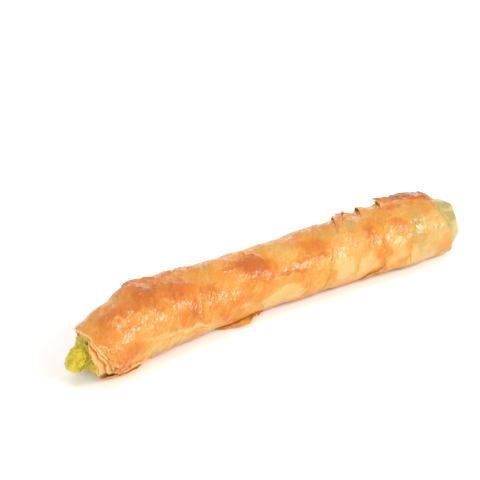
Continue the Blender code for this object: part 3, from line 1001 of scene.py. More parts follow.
@dataclass(frozen=True)
class MashFinish:
    """Mashed potato with turmeric and greens: moist and yellow-green, with painted shade and light on its
    lumps.
    """

    name: str = "potato"
    # The deep colour is partly painted shade, in the bumps' hollows; the light one is partly painted light,
    # on their tops.
    deep: Colour = (0.39, 0.29, 0.006)
    mid: Colour = (0.58, 0.45, 0.010)
    light: Colour = (0.69, 0.55, 0.035)
    roughness: float = 0.34
    subsurface: float = 0.35

    BROAD_CELLS, FINE_CELLS, GRAIN_CELLS = 220.0, 900.0, 3200.0
    BROAD_SHARE, FINE_SHARE, DEPTH_RANGE = 0.6, 0.4, (0.32, 0.68)
    FINE_HEIGHT, GRAIN_HEIGHT, ROUGH_SWING = 0.7, 0.25, 0.3

    def make(self) -> bpy.types.Material:
        """Builds the material from noise at three scales, for its colour and its bumps.

        Returns:
            The material.
        """
        graph = Graph(self.name)
        place = graph.place()
        broad = graph.noise(place, self.BROAD_CELLS, 3.0, 0.5)
        fine = graph.noise(place, self.FINE_CELLS, 4.0, 0.4)
        grain = graph.noise(place, self.GRAIN_CELLS, 2.0)
        # Painted shade and light: the fine noise that raises the bumps also lightens the colour, so hollows
        # are darker and tops lighter; the broad noise varies the tone at random.
        depth = (broad * self.BROAD_SHARE + fine * self.FINE_SHARE).within(*self.DEPTH_RANGE)
        colour = graph.ramp(depth, ((0.0, self.deep), (0.5, self.mid), (1.0, self.light)))
        height = fine * self.FINE_HEIGHT + grain * self.GRAIN_HEIGHT
        return graph.finish({
            "Base Color": colour,
            "Roughness": self.roughness + fine.swing(self.ROUGH_SWING),
            "IOR": 1.45,
            "Subsurface Weight": self.subsurface,
            "Subsurface Radius": (1.0, 0.8, 0.2),
            "Subsurface Scale": 0.003,
            "Normal": graph.bump(height, 0.6, 0.0005),
        })


@dataclass(frozen=True)
class PepperFinish:
    """Cracked black pepper."""

    name: str = "pepper"
    dark: Colour = (0.03, 0.02, 0.01)
    light: Colour = (0.16, 0.10, 0.03)

    CELLS = 3000.0
    SMOOTHEST, ROUGH_SHARE = 0.5, 0.2

    def make(self) -> bpy.types.Material:
        """Builds the material from fine noise.

        Returns:
            The material.
        """
        graph = Graph(self.name)
        grain = graph.noise(graph.place(), self.CELLS, 3.0)
        colour = graph.ramp(grain, ((0.3, self.dark), (0.7, self.light)))
        roughness = self.SMOOTHEST + grain * self.ROUGH_SHARE
        return graph.finish({"Base Color": colour, "Roughness": roughness})


@dataclass(frozen=True)
class FloorFinish:
    """A plain pale table top."""

    name: str = "pale_floor"
    low: Colour = (0.955, 0.955, 0.955)
    high: Colour = (0.965, 0.965, 0.965)
    roughness: float = 0.9

    CELLS = 6.0

    def make(self) -> bpy.types.Material:
        """Builds the material from very faint noise.

        Returns:
            The material.
        """
        graph = Graph(self.name)
        faint = graph.noise(graph.place(), self.CELLS, 2.0)
        colour = graph.mix(faint, self.low, self.high)
        return graph.finish({"Base Color": colour, "Roughness": self.roughness})


@dataclass
class WrapSheet:
    """One wrap of filo round the roll, as a thin closed sleeve with a ragged, slightly lifted lip.

    Its section runs along the top from left to right and back along the underside. Where an edge isn't
    free, the sheet goes on below its neighbour for the tuck's length and sinks into the wall.
    """

    name: str
    left: Line | Rim
    right: Line | Rim
    free: FreeEdge
    height_left: float
    height_right: float
    tuck: float = 4.0
    tuck_depth: float = 0.6
    curl: float = 0.5
    seed: int = 1
    crests: tuple[Triple, ...] = ()
    columns: int = 288
    step: float = 0.42
    thickness: float = 0.28
    lip_reach: float = 1.5
    bevel: float = 0.30
    bevel_reach: float = 0.8
    edge_reach: float = 0.7
    left_crest: float = 1.0

    FIRST_SEED = 300
    RING_STEP = 0.37
    FLICK_BASE, FLICK_SWING, FLICK_WAVES = 0.15, 1.3, 4.5
    MERGE_BASE, MERGE_SWING, MERGE_LOW, MERGE_WAVES, MERGE_SHIFT = 0.62, 1.1, 0.12, 3.0, 11.0
    REST_POWER = 1.5
    REST_DEPTH, WALL_DEPTH, WALL_START, WALL_RUN = 0.75, 0.3, 2.5, 4.0
    UNDERSIDE_SINK = 0.5
    FEWEST, FEWEST_NEAR, FEWEST_UNDER = 10, 3, 4
    NEAR_SHARE, UNDER_SHARE = 8, 6

    @property
    def free_left(self) -> bool:
        """Whether the left edge is free."""
        return self.free is not FreeEdge.NEITHER

    @property
    def free_right(self) -> bool:
        """Whether the right edge is free."""
        return self.free is FreeEdge.BOTH

    def rest(self, share: Array) -> Array:
        """Height above the neighbours, as if no lip curled: each side's height, fading across the sheet."""
        share = np.clip(share, 0.0, 1.0)
        from_left = self.height_left * (1.0 - share) ** self.REST_POWER
        return from_left + self.height_right * share**self.REST_POWER

    def lifts(self, share: Array, from_left: Array, from_right: Array, angle: Array) -> Array:
        """Height above the shared relief: it fades from each side's height, and curls up at a free edge.

        A lip's height varies round the roll with noise and has crests, each a bell curve of the angle,
        and falls off with e to the power -distance / reach. The very edge dips by the bevel.

        Args:
            share: 0 at the left line and 1 at the right one.
            from_left: Distance in from the left line, below 0 in its tuck.
            from_right: Distance in from the right line, below 0 in its tuck.
            angle: Angles round the roll.

        Returns:
            Heights in millimetres.
        """
        place = ring(angle, self.RING_STEP * self.seed)
        grain = Grain(self.FIRST_SEED + self.seed)
        flick = np.clip(grain.cloud(place * self.FLICK_WAVES, 3), 0.0, 1.0) * self.FLICK_SWING
        lip = self.curl * (self.FLICK_BASE + flick)
        merge = grain.at(place * self.MERGE_WAVES + self.MERGE_SHIFT)
        merge = np.clip(self.MERGE_BASE + self.MERGE_SWING * merge, self.MERGE_LOW, 1.0)
        height = self.rest(share) * merge
        crest = sum(rise * bell(angle - middle, spread) for middle, spread, rise in self.crests)
        sides = ((from_left, self.free_left, self.left_crest), (from_right, self.free_right, 1.0))
        for inward, is_free, crest_share in sides:
            if is_free:
                height = height + (lip + crest_share * crest) * np.exp(-np.abs(inward) / self.lip_reach)
                height = height - self.bevel * np.exp(-np.abs(inward) / self.bevel_reach)
            else:
                height = height - self.tuck_depth * smooth_step(-inward / self.tuck)
        return height

    def section(self, angle: Array) -> tuple[Array, Array, Array, Array]:
        """The sheet's section at each angle: even points above, fewer below, close together at the edges.

        Args:
            angle: Angles as a column.

        Returns:
            Places along the roll, lifts of the top, depths below the top, and nearness to a free edge,
            each as (angles, points round the section).
        """
        left, right = self.left.at(angle), self.right.at(angle)
        start = left if self.free_left else left - self.tuck
        end = right if self.free_right else right + self.tuck
        count = max(self.FEWEST, round(float(np.median(end - start)) / self.step))
        top = np.linspace(0.0, 1.0, count)
        near = top[: max(self.FEWEST_NEAR, count // self.NEAR_SHARE)]
        even = np.linspace(0.0, 1.0, max(self.FEWEST_UNDER, count // self.UNDER_SHARE))
        under = np.unique(np.concatenate([near, even, 1.0 - near]))
        along = np.concatenate([top, under[::-1]])[None, :]
        below = np.concatenate([np.zeros(count), np.ones(len(under))])[None, :]
        x = start + (end - start) * along
        share = (x - left) / (right - left)
        lift = self.lifts(share, x - left, right - x, angle)
        inward = (np.minimum(x - start, end - x) - self.WALL_START) / self.WALL_RUN
        depth = self.thickness + self.REST_DEPTH * self.rest(share) + self.WALL_DEPTH * smooth_step(inward)
        gap = np.full_like(x, np.inf)
        if self.free_left:
            gap = np.minimum(gap, x - left)
        if self.free_right:
            gap = np.minimum(gap, right - x)
        return x, lift, below * depth, np.exp(-np.maximum(gap, 0.0) / self.edge_reach)

    def build(self, material: bpy.types.Material) -> bpy.types.Object:
        """Makes the sheet.

        Args:
            material: The pastry's material.

        Returns:
            The piece.
        """
        angle = around(self.columns)
        x, lift, depth, edge = self.section(angle)
        shown = FORM.off_underside(angle, FORM.relief_fade)
        lift = lift * shown - self.UNDERSIDE_SINK * (1.0 - shown)
        relief = SKIN.relief(x, angle)
        points = FORM.curled_up(FORM.on_skin(x, angle, relief + lift - depth))
        faces = Mesh.grid_faces(*x.shape, True, True)
        piece = Mesh.make(self.name, points, [faces], skin_values(x, angle, edge, relief))
        return dress(piece, material)


@dataclass
class Core:
    """The wall under the outer sheets: a closed tube with a flat underside, set a little back."""

    sink: float = 0.55
    set_back: float = 4.0
    columns: int = 180
    stations: int = 300
    bore_stations: int = 24

    def build(self, material: bpy.types.Material) -> bpy.types.Object:
        """Makes the tube, as a ring of sections that go out along the skin and back through the bore.

        Args:
            material: The pastry's material.

        Returns:
            The piece.
        """
        angle = around(self.columns)
        left = LEFT_OUTER_RIM.at(angle) + self.set_back
        right = RIGHT_OUTER_RIM.at(angle) - self.set_back
        out = left + (right - left) * np.linspace(0.0, 1.0, self.stations)
        back = right + (left - right) * np.linspace(0.0, 1.0, self.bore_stations)
        shown = FORM.off_underside(angle, FORM.relief_fade)
        skin = FORM.on_skin(out, angle, SKIN.relief(out, angle) - self.sink * shown)
        wall = FORM.at_radius(back, angle, FORM.bore_radius)
        x = np.concatenate([out, back], axis=1)
        points = np.concatenate([skin, wall], axis=1)
        faces = Mesh.grid_faces(*x.shape, True, True)
        piece = Mesh.make("filo_core", points, [faces], skin_values(x, angle, 0.0, 0.0))
        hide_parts(PASTRY_NODE)
        return dress(piece, material)


@dataclass
class EndLayer:
    """One inner sheet that shows at a cut end: a short crinkled sleeve inside the wall."""

    name: str
    outer: Rim
    inner: Rim
    share: float
    outward: float
    seed: int
    length: float = 9.0
    jitter: float = 0.35
    crinkle: float = 0.015
    sway: float = 0.0
    taper: float = 0.0
    reach: float = 0.0
    swell: float = 0.0
    thickness: float = 0.24
    columns: int = 300
    stations: int = 20

    FIRST_SEED = 400
    RING_STEP = 0.41
    RAG_WAVES, TEAR_WAVES, TEAR_SHARE = 2.0, 9.0, 0.4
    CRINKLE_WAVES, CRINKLE_RATE, SWAY_WAVES, SWAY_SHIFT = 5.5, 0.12, 1.7, 5.0
    CRINKLE_DEEP, CRINKLE_RIM = 0.4, 0.6
    STATION_POWER = 1.6
    SWELL_ANGLE, SWELL_SPREAD = 105.0, 38.0
    SUNK, SUNK_DEEP, SUNK_RATE, TAPER_POWER = 0.35, 0.45, 3.0, 3
    EDGE_REACH, EDGE_SHARE = 0.6, 0.35
    DEEP_REACH = 3.0
    # Painted shade and light: the layers are browned more deeper in the cut end's recess, and they are
    # paler near the rim.
    BROWNED, BAKE_SHARE, DEEP_BROWNED = 0.12, 0.35, 0.12
    PALE_SHARE, RIM_PALE = 0.5, 0.30

    def build(self, material: bpy.types.Material) -> bpy.types.Object:
        """Makes the sleeve: its share of the wall wavers with noise, and its rim is ragged.

        The section runs out along the side nearer the skin and back along the other. It stays a little
        below the skin, and deeper further in.

        Args:
            material: The pastry's material.

        Returns:
            The piece.
        """
        angle = around(self.columns)
        place = ring(angle, self.RING_STEP * self.seed)
        grain = Grain(self.FIRST_SEED + self.seed)
        tears = self.TEAR_SHARE * grain.cloud(place * self.TEAR_WAVES, 3)
        rag = grain.cloud(place * self.RAG_WAVES, 2) + tears
        rim = self.outer.at(angle) + (self.inner.at(angle) - self.outer.at(angle)) * self.share
        rim = rim + self.jitter * rag + self.outward * self.reach
        inward = np.linspace(0.0, 1.0, self.stations)[None, :] ** self.STATION_POWER
        halves = [inward, inward[:, ::-1]]
        along = np.concatenate(halves if self.outward < 0.0 else halves[::-1], axis=1)
        below = np.concatenate([np.zeros(self.stations), np.ones(self.stations)])[None, :]
        x = rim - self.outward * self.length * along
        wall = FORM.half_width(x) - FORM.bore_radius
        field = np.concatenate([np.broadcast_to(place, x.shape + (3,))[..., :2] * self.CRINKLE_WAVES,
                                (self.CRINKLE_RATE * x + self.seed)[..., None]], axis=-1)
        crinkle = self.crinkle * grain.cloud(field, 2)
        waver = crinkle * (self.CRINKLE_DEEP + self.CRINKLE_RIM * (1.0 - along))
        waver = waver + self.sway * grain.at(place * self.SWAY_WAVES + self.SWAY_SHIFT)
        thickness = self.thickness * (1.0 + self.swell * bell(angle - self.SWELL_ANGLE, self.SWELL_SPREAD))
        taper = self.taper * (1.0 - along) ** self.TAPER_POWER
        share = self.share + waver + below * thickness / wall + taper
        sunk = self.SUNK + self.SUNK_DEEP * smooth_step(along * self.SUNK_RATE)
        share = np.maximum(share, (sunk - SKIN.relief(x, angle)) / wall)
        points = FORM.curled_up(FORM.in_wall(x, angle, share))
        faces = Mesh.grid_faces(*x.shape, True, True)
        edge = np.exp(-along * self.length / self.EDGE_REACH)
        values = skin_values(x, angle, self.EDGE_SHARE * edge, 0.0)
        # Painted shade deeper in the recess and painted light near the rim, added to the bake's own
        # browning and paleness.
        deep = np.clip(along * self.length / self.DEEP_REACH, 0.0, 1.0)
        values["browned"] = self.BROWNED + self.BAKE_SHARE * values["browned"] + self.DEEP_BROWNED * deep
        values["pale"] = np.clip(self.PALE_SHARE * values["pale"] + self.RIM_PALE * (1.0 - deep), 0.0, 1.0)
        piece = Mesh.make(self.name, points, [faces], values)
        return dress(piece, material)


@dataclass
class Flap:
    """A loose piece of sheet: it leaves the skin at its root and ends in a ragged free edge.

    Across is measured from the root, 0, to the free edge, 1; the lift grows with across to the power
    curl. The outline is the root's and the edge's lines, as (along, angle) knots, between two places.
    """

    name: str
    start: float
    end: float
    root: tuple[Pair, ...]
    edge: tuple[Pair, ...]
    lift: float
    seed: int
    lift_root: float = -0.6
    curl: float = 1.6
    rag: float = 0.10
    lean: float = 0.0
    browned: float = 0.25
    wave: float = 0.35
    thickness: float = 0.30
    rows: int = 90
    columns: int = 44
    corner: float = 0.5
    # A flap in shade takes the lighter copy of the filo, as painted light.
    in_shade: bool = False

    FIRST_SEED = 500
    RAG_WAVES, TEARS = 9.0, 4.0
    WAVE_CELL, WAVE_ANGLE = 5.0, 14.0
    CLEARANCE = 0.1
    EDGE_FADE = 6.0
    ROOT_BROWNED, EDGE_BROWNED = 0.4, 0.6
    TINY = 1e-12

    def surface(self) -> tuple[Array, Array, Array, Array]:
        """The sheet's middle surface: a grid from root to edge, narrowed at both ends by a sine.

        Returns:
            Places along the roll, angles, the skin's relief there, and the surface's points.
        """
        along = np.linspace(0.0, 1.0, self.rows)[:, None]
        across = np.linspace(0.0, 1.0, self.columns)[None, :]
        grain = Grain(self.FIRST_SEED + self.seed)
        line = np.stack(np.broadcast_arrays(along * self.RAG_WAVES, 0.0, float(self.seed)), axis=-1)
        ragged = 1.0 + self.rag * (grain.cloud(line, 2) + grain.cloud(line * self.TEARS, 2))
        narrowing = np.clip(np.sin(math.pi * along), 0.0, 1.0) ** self.corner
        root = np.interp(along, *zip(*self.root))
        edge = np.interp(along, *zip(*self.edge))
        reach = across * ragged * narrowing
        angle = root + (edge - root) * reach
        x = self.start + (self.end - self.start) * along + self.lean * reach
        field = np.stack([x / self.WAVE_CELL, angle / self.WAVE_ANGLE, np.full_like(x, self.seed)], axis=-1)
        waves = self.wave * grain.cloud(field, 3) * across
        rise = self.lift_root + (self.lift - self.lift_root) * across**self.curl * narrowing + waves
        relief = SKIN.relief(x, angle)
        middle = FORM.curled_up(FORM.on_skin(x, angle, relief + rise))
        middle[..., 2] = np.maximum(middle[..., 2], (self.thickness + self.CLEARANCE) * MM)
        return x, angle, relief, middle

    def build(self, material: bpy.types.Material) -> bpy.types.Object:
        """Makes the flap as a thin closed sheet: its middle surface moved half its thickness each way.

        Args:
            material: The pastry's material.

        Returns:
            The piece.
        """
        x, angle, relief, middle = self.surface()
        normal = np.cross(np.gradient(middle, axis=0), np.gradient(middle, axis=1))
        normal /= np.linalg.norm(normal, axis=-1, keepdims=True) + self.TINY
        outward = np.sign(np.sum(normal * (FORM.on_skin(x, angle, 1.0) - FORM.on_skin(x, angle, 0.0))))
        half = normal * outward * (self.thickness * MM / 2.0)
        loop = np.concatenate([middle + half, (middle - half)[:, ::-1]], axis=1)
        faces = Mesh.grid_faces(self.rows, 2 * self.columns, False, True)
        if outward > 0.0:
            faces = faces[:, ::-1]
        caps = [self.cap(0, outward > 0.0), self.cap(self.rows - 1, outward < 0.0)]
        order = np.concatenate([np.arange(self.columns), np.arange(self.columns)[::-1]])
        from_edge = 1.0 - np.linspace(0.0, 1.0, self.columns)[order]
        near = np.exp(-from_edge * self.EDGE_FADE)[None, :]
        values = skin_values(x[:, order], angle[:, order], near, relief[:, order])
        browned = self.browned * (self.ROOT_BROWNED + self.EDGE_BROWNED * near)
        values["browned"] = np.clip(values["browned"] + browned, 0.0, 1.0)
        piece = Mesh.make(self.name, loop, [faces, *caps], values)
        return dress(piece, material)

    def cap(self, row: int, flip: bool) -> Array:
        """Quads that close the sheet at one of its two end rows.

        Args:
            row: The row.
            flip: Whether the winding is turned round.

        Returns:
            (faces, 4) indices.
        """
        column = np.arange(self.columns - 1)
        width = 2 * self.columns
        first = row * width + column
        other = row * width + (width - 1 - column)
        quads = np.stack([first, other, other - 1, first + 1], axis=-1)
        return quads[:, ::-1] if flip else quads


@dataclass
class Mash:
    """The mashed potato: a rod in the bore with a lumpy heap out of the left end."""

    left_tip: float = -134.0
    right_tip: float = 114.0
    left_round: float = 7.0
    right_round: float = 4.0
    rod: float = 11.95
    heap: float = 7.2
    heap_lift: float = 1.4
    heap_blend: float = 3.0
    hang: float = 7.4
    hang_start: float = -117.0
    drip: float = 1.8
    sunk_top: float = 4.5
    front_cut: float = 2.6
    cut_angle: float = -40.0
    cut_spread: float = 45.0
    slump: float = 5.5
    slump_start: float = -119.0
    slump_height: float = 12.0
    columns: int = 220

    SEED = 601
    LUMP, LUMP_CELL = 2.0, 7.0
    KNOB, KNOB_CELL, KNOB_SHIFT = 1.6, 2.9, 9.0
    CRUMB, CRUMB_CELL = 0.26, 0.95
    DRIP_CELL, DRIP_SHIFT, DRIP_RANGE = 3.2, 4.0, (-0.5, 1.0)
    RIGHT_LUMPS = 0.4
    INSIDE_RIM = 1.0
    OPEN_LEFT, OPEN_RUN, TIP_RUN = -116.0, 4.0, 1.2
    OPEN_RIGHT, RIGHT_RUN = 3.0, 2.0
    SLUMP_RUN, HANG_RUN, SLIMMEST = 8.0, 4.0, 0.05
    HEAP_RUN, HEAP_STATIONS, TAIL_RUN, TAIL_STATIONS, ROD_STATIONS = 22.0, 130, 6.0, 24, 30
    STATION_POWER, HEAP_FIRST, TAIL_FIRST = 1.5, 0.004, 0.01

    @staticmethod
    def tip(distance: Array, length: float) -> Array:
        """A round tip's share of the full radius: an ellipse over the length."""
        return np.sqrt(1.0 - (1.0 - np.clip(distance / length, 0.0, 1.0)) ** 2)

    def radius(self, x: Array, angle: Array) -> Array:
        """Radius: the rod's in the bore, the heap's outside, narrowing to both tips as an ellipse."""
        top = np.clip(np.sin(np.radians(angle)), 0.0, 1.0)
        start = LEFT_INNER_RIM.at(angle) - self.INSIDE_RIM + self.sunk_top * top
        outside = smooth_step((start - x) / self.heap_blend)
        half_turn = FULL_TURN / 2.0
        from_cut = (angle - self.cut_angle + half_turn) % FULL_TURN - half_turn
        cut = self.front_cut * bell(from_cut, self.cut_spread)
        left = self.tip(x - self.left_tip, self.left_round)
        right = self.tip(self.right_tip - x, self.right_round)
        return (self.rod + outside * (self.heap - cut - self.rod)) * left * right

    def surface(self, x: Array, angle: Array) -> Array:
        """Points of the filling: the radius plus lumps, with the heap lifted, slumped and cut off below.

        Args:
            x: Places along the roll.
            angle: Angles round it.

        Returns:
            Points of the frame in metres, as (..., 3).
        """
        x, angle = np.broadcast_arrays(x, angle)
        turn = np.radians(angle)
        radius = self.radius(x, angle)
        space = np.stack([x, -radius * np.cos(turn), radius * np.sin(turn)], axis=-1)
        grain = Grain(self.SEED)
        lumps = self.LUMP * grain.cloud(space / self.LUMP_CELL, 2)
        lumps = lumps + self.KNOB * np.abs(grain.cloud(space / self.KNOB_CELL + self.KNOB_SHIFT, 3))
        crumbs = self.CRUMB * grain.cloud(space / self.CRUMB_CELL, 2)
        open_left = smooth_step((self.OPEN_LEFT - x) / self.OPEN_RUN)
        open_left = open_left * smooth_step((x - self.left_tip) / self.TIP_RUN)
        open_right = smooth_step((x - self.right_tip + self.OPEN_RIGHT) / self.RIGHT_RUN)
        at_right = self.RIGHT_LUMPS * lumps * open_right * radius / self.rod
        radius = radius + (lumps + crumbs) * open_left + at_right
        points = FORM.at_radius(x, angle, np.maximum(radius, self.SLIMMEST))
        outside = smooth_step((LEFT_INNER_RIM.at(angle) - self.INSIDE_RIM - x) / self.heap_blend)
        points[..., 2] += self.heap_lift * outside * MM
        upper = smooth_step((points[..., 2] / MM - self.slump_height) / self.slump_height)
        points[..., 0] += self.slump * upper * smooth_step((self.slump_start - x) / self.SLUMP_RUN) * MM
        drip = np.clip(grain.cloud(space / self.DRIP_CELL + self.DRIP_SHIFT, 2), *self.DRIP_RANGE)
        lowest = (self.hang - self.drip * drip) * smooth_step((self.hang_start - x) / self.HANG_RUN) * MM
        points[..., 2] = np.maximum(points[..., 2], lowest)
        return points

    def build(self, material: bpy.types.Material) -> bpy.types.Object:
        """Makes the filling as rings of points, closed by a pole at each tip.

        Args:
            material: The mash's material.

        Returns:
            The piece.
        """
        angle = around(self.columns)
        shares = np.linspace(self.HEAP_FIRST, 1.0, self.HEAP_STATIONS) ** self.STATION_POWER
        heap = self.left_tip + self.HEAP_RUN * shares
        shares = np.linspace(1.0, self.TAIL_FIRST, self.TAIL_STATIONS) ** self.STATION_POWER
        tail = self.right_tip - self.TAIL_RUN * shares
        rod = np.linspace(heap[-1], self.right_tip - self.TAIL_RUN, self.ROD_STATIONS)[1:-1]
        points = self.surface(np.concatenate([heap, rod, tail])[None, :], angle)
        rows, columns = points.shape[:2]
        poles = np.stack([points[:, 0].mean(axis=0), points[:, -1].mean(axis=0)])
        flat = np.concatenate([points.reshape(-1, 3), poles])
        row = np.arange(rows)
        following = (row + 1) % rows
        first = np.stack([np.full(rows, rows * columns), row * columns, following * columns], axis=-1)
        last = np.stack([np.full(rows, rows * columns + 1), following * columns + columns - 1,
                         row * columns + columns - 1], axis=-1)
        faces = Mesh.grid_faces(rows, columns, True, False)
        piece = Mesh.make("potato_mash", flat, [faces, first, last], {})
        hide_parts(FILLING_NODE)
        return dress(piece, material)


@dataclass
class Pepper:
    """Specks of cracked pepper, half sunk in the heap of mash."""

    mash: Mash
    specks: tuple[Triple, ...] = (
        (-129.5, 10.0, 0.42), (-127.0, 30.0, 0.36), (-125.5, 62.0, 0.34), (-123.5, -5.0, 0.30),
        (-128.0, -18.0, 0.26), (-124.0, 34.0, 0.24), (-130.0, 40.0, 0.28), (-126.5, 88.0, 0.30),
        (-122.5, 15.0, 0.22), (-127.5, 140.0, 0.34), (-124.5, 200.0, 0.30), (-129.0, 175.0, 0.26),
    )
    rings: int = 8
    columns: int = 12
    roughness: float = 0.45

    SEED = 701
    POLE_GAP = 0.06
    CELLS_EACH, SPECK_SHIFT = 1.3, 3.7

    def build(self, material: bpy.types.Material) -> bpy.types.Object:
        """Makes all specks as one piece of small lumps: each a ball whose radius varies with noise.

        Args:
            material: The pepper's material.

        Returns:
            The piece.
        """
        polar = np.linspace(self.POLE_GAP, math.pi - self.POLE_GAP, self.rings)[:, None]
        turn = np.linspace(0.0, 2.0 * math.pi, self.columns, endpoint=False)[None, :]
        sine = np.sin(polar)
        ball = np.broadcast_arrays(sine * np.cos(turn), sine * np.sin(turn), np.cos(polar))
        ball = np.stack(ball, axis=-1).reshape(-1, 3)
        ball = np.concatenate([ball, [[0.0, 0.0, 1.0], [0.0, 0.0, -1.0]]])
        along, angle, size = np.array(self.specks).T
        middle = self.mash.surface(along, angle)
        shift = np.arange(len(size))[:, None, None] * self.SPECK_SHIFT
        lumpy = 1.0 + self.roughness * Grain(self.SEED).at(ball[None] * self.CELLS_EACH + shift)
        radius = size[:, None] * lumpy * MM
        points = middle[:, None, :] + ball[None] * radius[..., None]
        count = self.rings * self.columns
        column = np.arange(self.columns)
        following = (column + 1) % self.columns
        last_ring = count - self.columns
        sides = Mesh.grid_faces(self.rings, self.columns, False, True)[:, ::-1]
        pole = np.full(self.columns, count)
        top = np.stack([pole, column, following], axis=-1)
        bottom = np.stack([pole + 1, last_ring + following, last_ring + column], axis=-1)
        start = (np.arange(len(size)) * (count + 2))[:, None, None]
        faces = [(part[None] + start).reshape(-1, part.shape[1]) for part in (sides, top, bottom)]
        piece = Mesh.make("pepper_specks", points, faces, {})
        return dress(piece, material)


@dataclass
class Studio:
    """The plain pale floor, the soft lights and the camera."""

    azimuth: float = -33.7
    elevation: float = 32.0
    distance: float = 1.0948
    aside: float = -0.0171
    above: float = 0.0204
    lens: float = 150.0
    pivot_height: float = 0.01605
    floor_half: float = 6.0
    daylight: float = 0.68

    AIM = Vector((0.0, 0.0, 0.02))
    SOFTBOXES = (
        ("front_softbox", (0.44, -0.74, 0.64), (0.40, 0.42), 7.2),
        ("left_softbox", (-0.75, -0.50, 0.60), (0.30, 0.30), 2.8),
        ("top_softbox", (-0.20, 0.10, 1.20), (0.70, 0.70), 3.4),
        ("back_softbox", (0.80, 1.25, 0.24), (1.30, 0.46), 2.4),
    )

    def camera(self) -> bpy.types.Object:
        """Places the camera: it looks at the roll's middle and is moved in its own plane.

        Returns:
            The camera.
        """
        turn, tilt = math.radians(self.azimuth), math.radians(self.elevation)
        back = Vector((math.sin(turn) * math.cos(tilt), -math.cos(turn) * math.cos(tilt), math.sin(tilt)))
        right = Vector((math.cos(turn), math.sin(turn), 0.0))
        up = back.cross(right)
        pivot = Vector((FORM.middle_x * MM, FORM.middle_y * MM, self.pivot_height))
        data = bpy.data.cameras.new("camera")
        data.lens = self.lens
        data.clip_end = 10.0
        made = bpy.data.objects.new("camera", data)
        basis = Matrix((right, up, back)).transposed().to_4x4()
        basis.translation = pivot + back * self.distance + right * self.aside + up * self.above
        made.matrix_world = basis
        bpy.context.scene.collection.objects.link(made)
        bpy.context.scene.camera = made
        return made

    def softbox(self, name: str, place: Triple, size: Pair, power: float) -> None:
        """Adds a rectangular soft light that faces the roll.

        Args:
            name: The light's name.
            place: Where it stands, in metres.
            size: Its width and height in metres.
            power: Its power in watts.
        """
        data = bpy.data.lights.new(name, "AREA")
        data.shape = "RECTANGLE"
        data.size, data.size_y = size
        data.energy = power
        made = bpy.data.objects.new(name, data)
        made.location = place
        made.rotation_euler = (Vector(place) - self.AIM).to_track_quat("Z", "Y").to_euler()
        bpy.context.scene.collection.objects.link(made)

    def build(self) -> None:
        """Makes the floor, the lights, the pale surroundings and the camera."""
        size = self.floor_half
        corners = np.array([[-size, -size, 0.0], [size, -size, 0.0], [size, size, 0.0], [-size, size, 0.0]])
        floor = Mesh.make("floor", corners, [np.array([[0, 1, 2, 3]])], {})
        floor.data.materials.append(FloorFinish().make())
        for softbox in self.SOFTBOXES:
            self.softbox(*softbox)
        scene = bpy.context.scene
        scene.world = bpy.data.worlds.new("pale_room")
        scene.world.use_nodes = True
        background = scene.world.node_tree.nodes["Background"].inputs
        background["Color"].default_value = (1.0, 1.0, 1.0, 1.0)
        background["Strength"].default_value = self.daylight
        scene.view_settings.view_transform = "Standard"
        self.camera()


TORN_LINE = Line(((-90, -92), (0, -89), (21, -86), (49, -82), (70, -80), (87, -79), (98, -80),
                  (127, -80), (200, -84), (270, -92)), 1.1, 2)
THIRD_LINE = Line(((-90, -76), (0, -74), (36, -70), (57, -67), (81, -62), (125, -52), (200, -50),
                   (270, -76)), 0.6, 3)
LONG_LINE = Line(((-90, -58), (-20, -52), (20, -48), (51, -44), (69, -42), (87, -39), (112, -34),
                  (200, -26), (270, -58)), 0.5, 4)
PLEAT_LINE = Line(((-90, 20), (-50, 22), (-9, 26), (28, 30), (58, 38), (81, 42), (116, 48), (128, 50.5),
                   (200, 56), (270, 20)), 0.45, 5)
PLEAT_SIDE = Line(((-90, 23), (-50, 24.5), (-12, 28.5), (33, 33.5), (67, 42), (109, 52), (128, 58),
                   (160, 61), (200, 62), (270, 23)), 0.35, 6)
FIFTH_LINE = Line(((-90, 38), (-49, 42), (-27, 43), (0, 46), (19, 48), (43, 51), (73, 56), (96, 62),
                   (140, 67), (200, 70), (270, 38)), 0.4, 7)
END_LINE = Line(((-90, 52), (-51, 54), (-32, 60), (-17, 62), (7, 62), (31, 64), (52, 67), (74, 68),
                 (126, 77), (200, 80), (270, 52)), 0.5, 8)
CAP_LINE = Line(((-90, 80), (-40, 80), (8, 79), (27, 82), (43, 83.5), (54, 77), (69, 71.5), (98, 75),
                 (126, 79), (200, 88), (270, 80)), 0.6, 9)


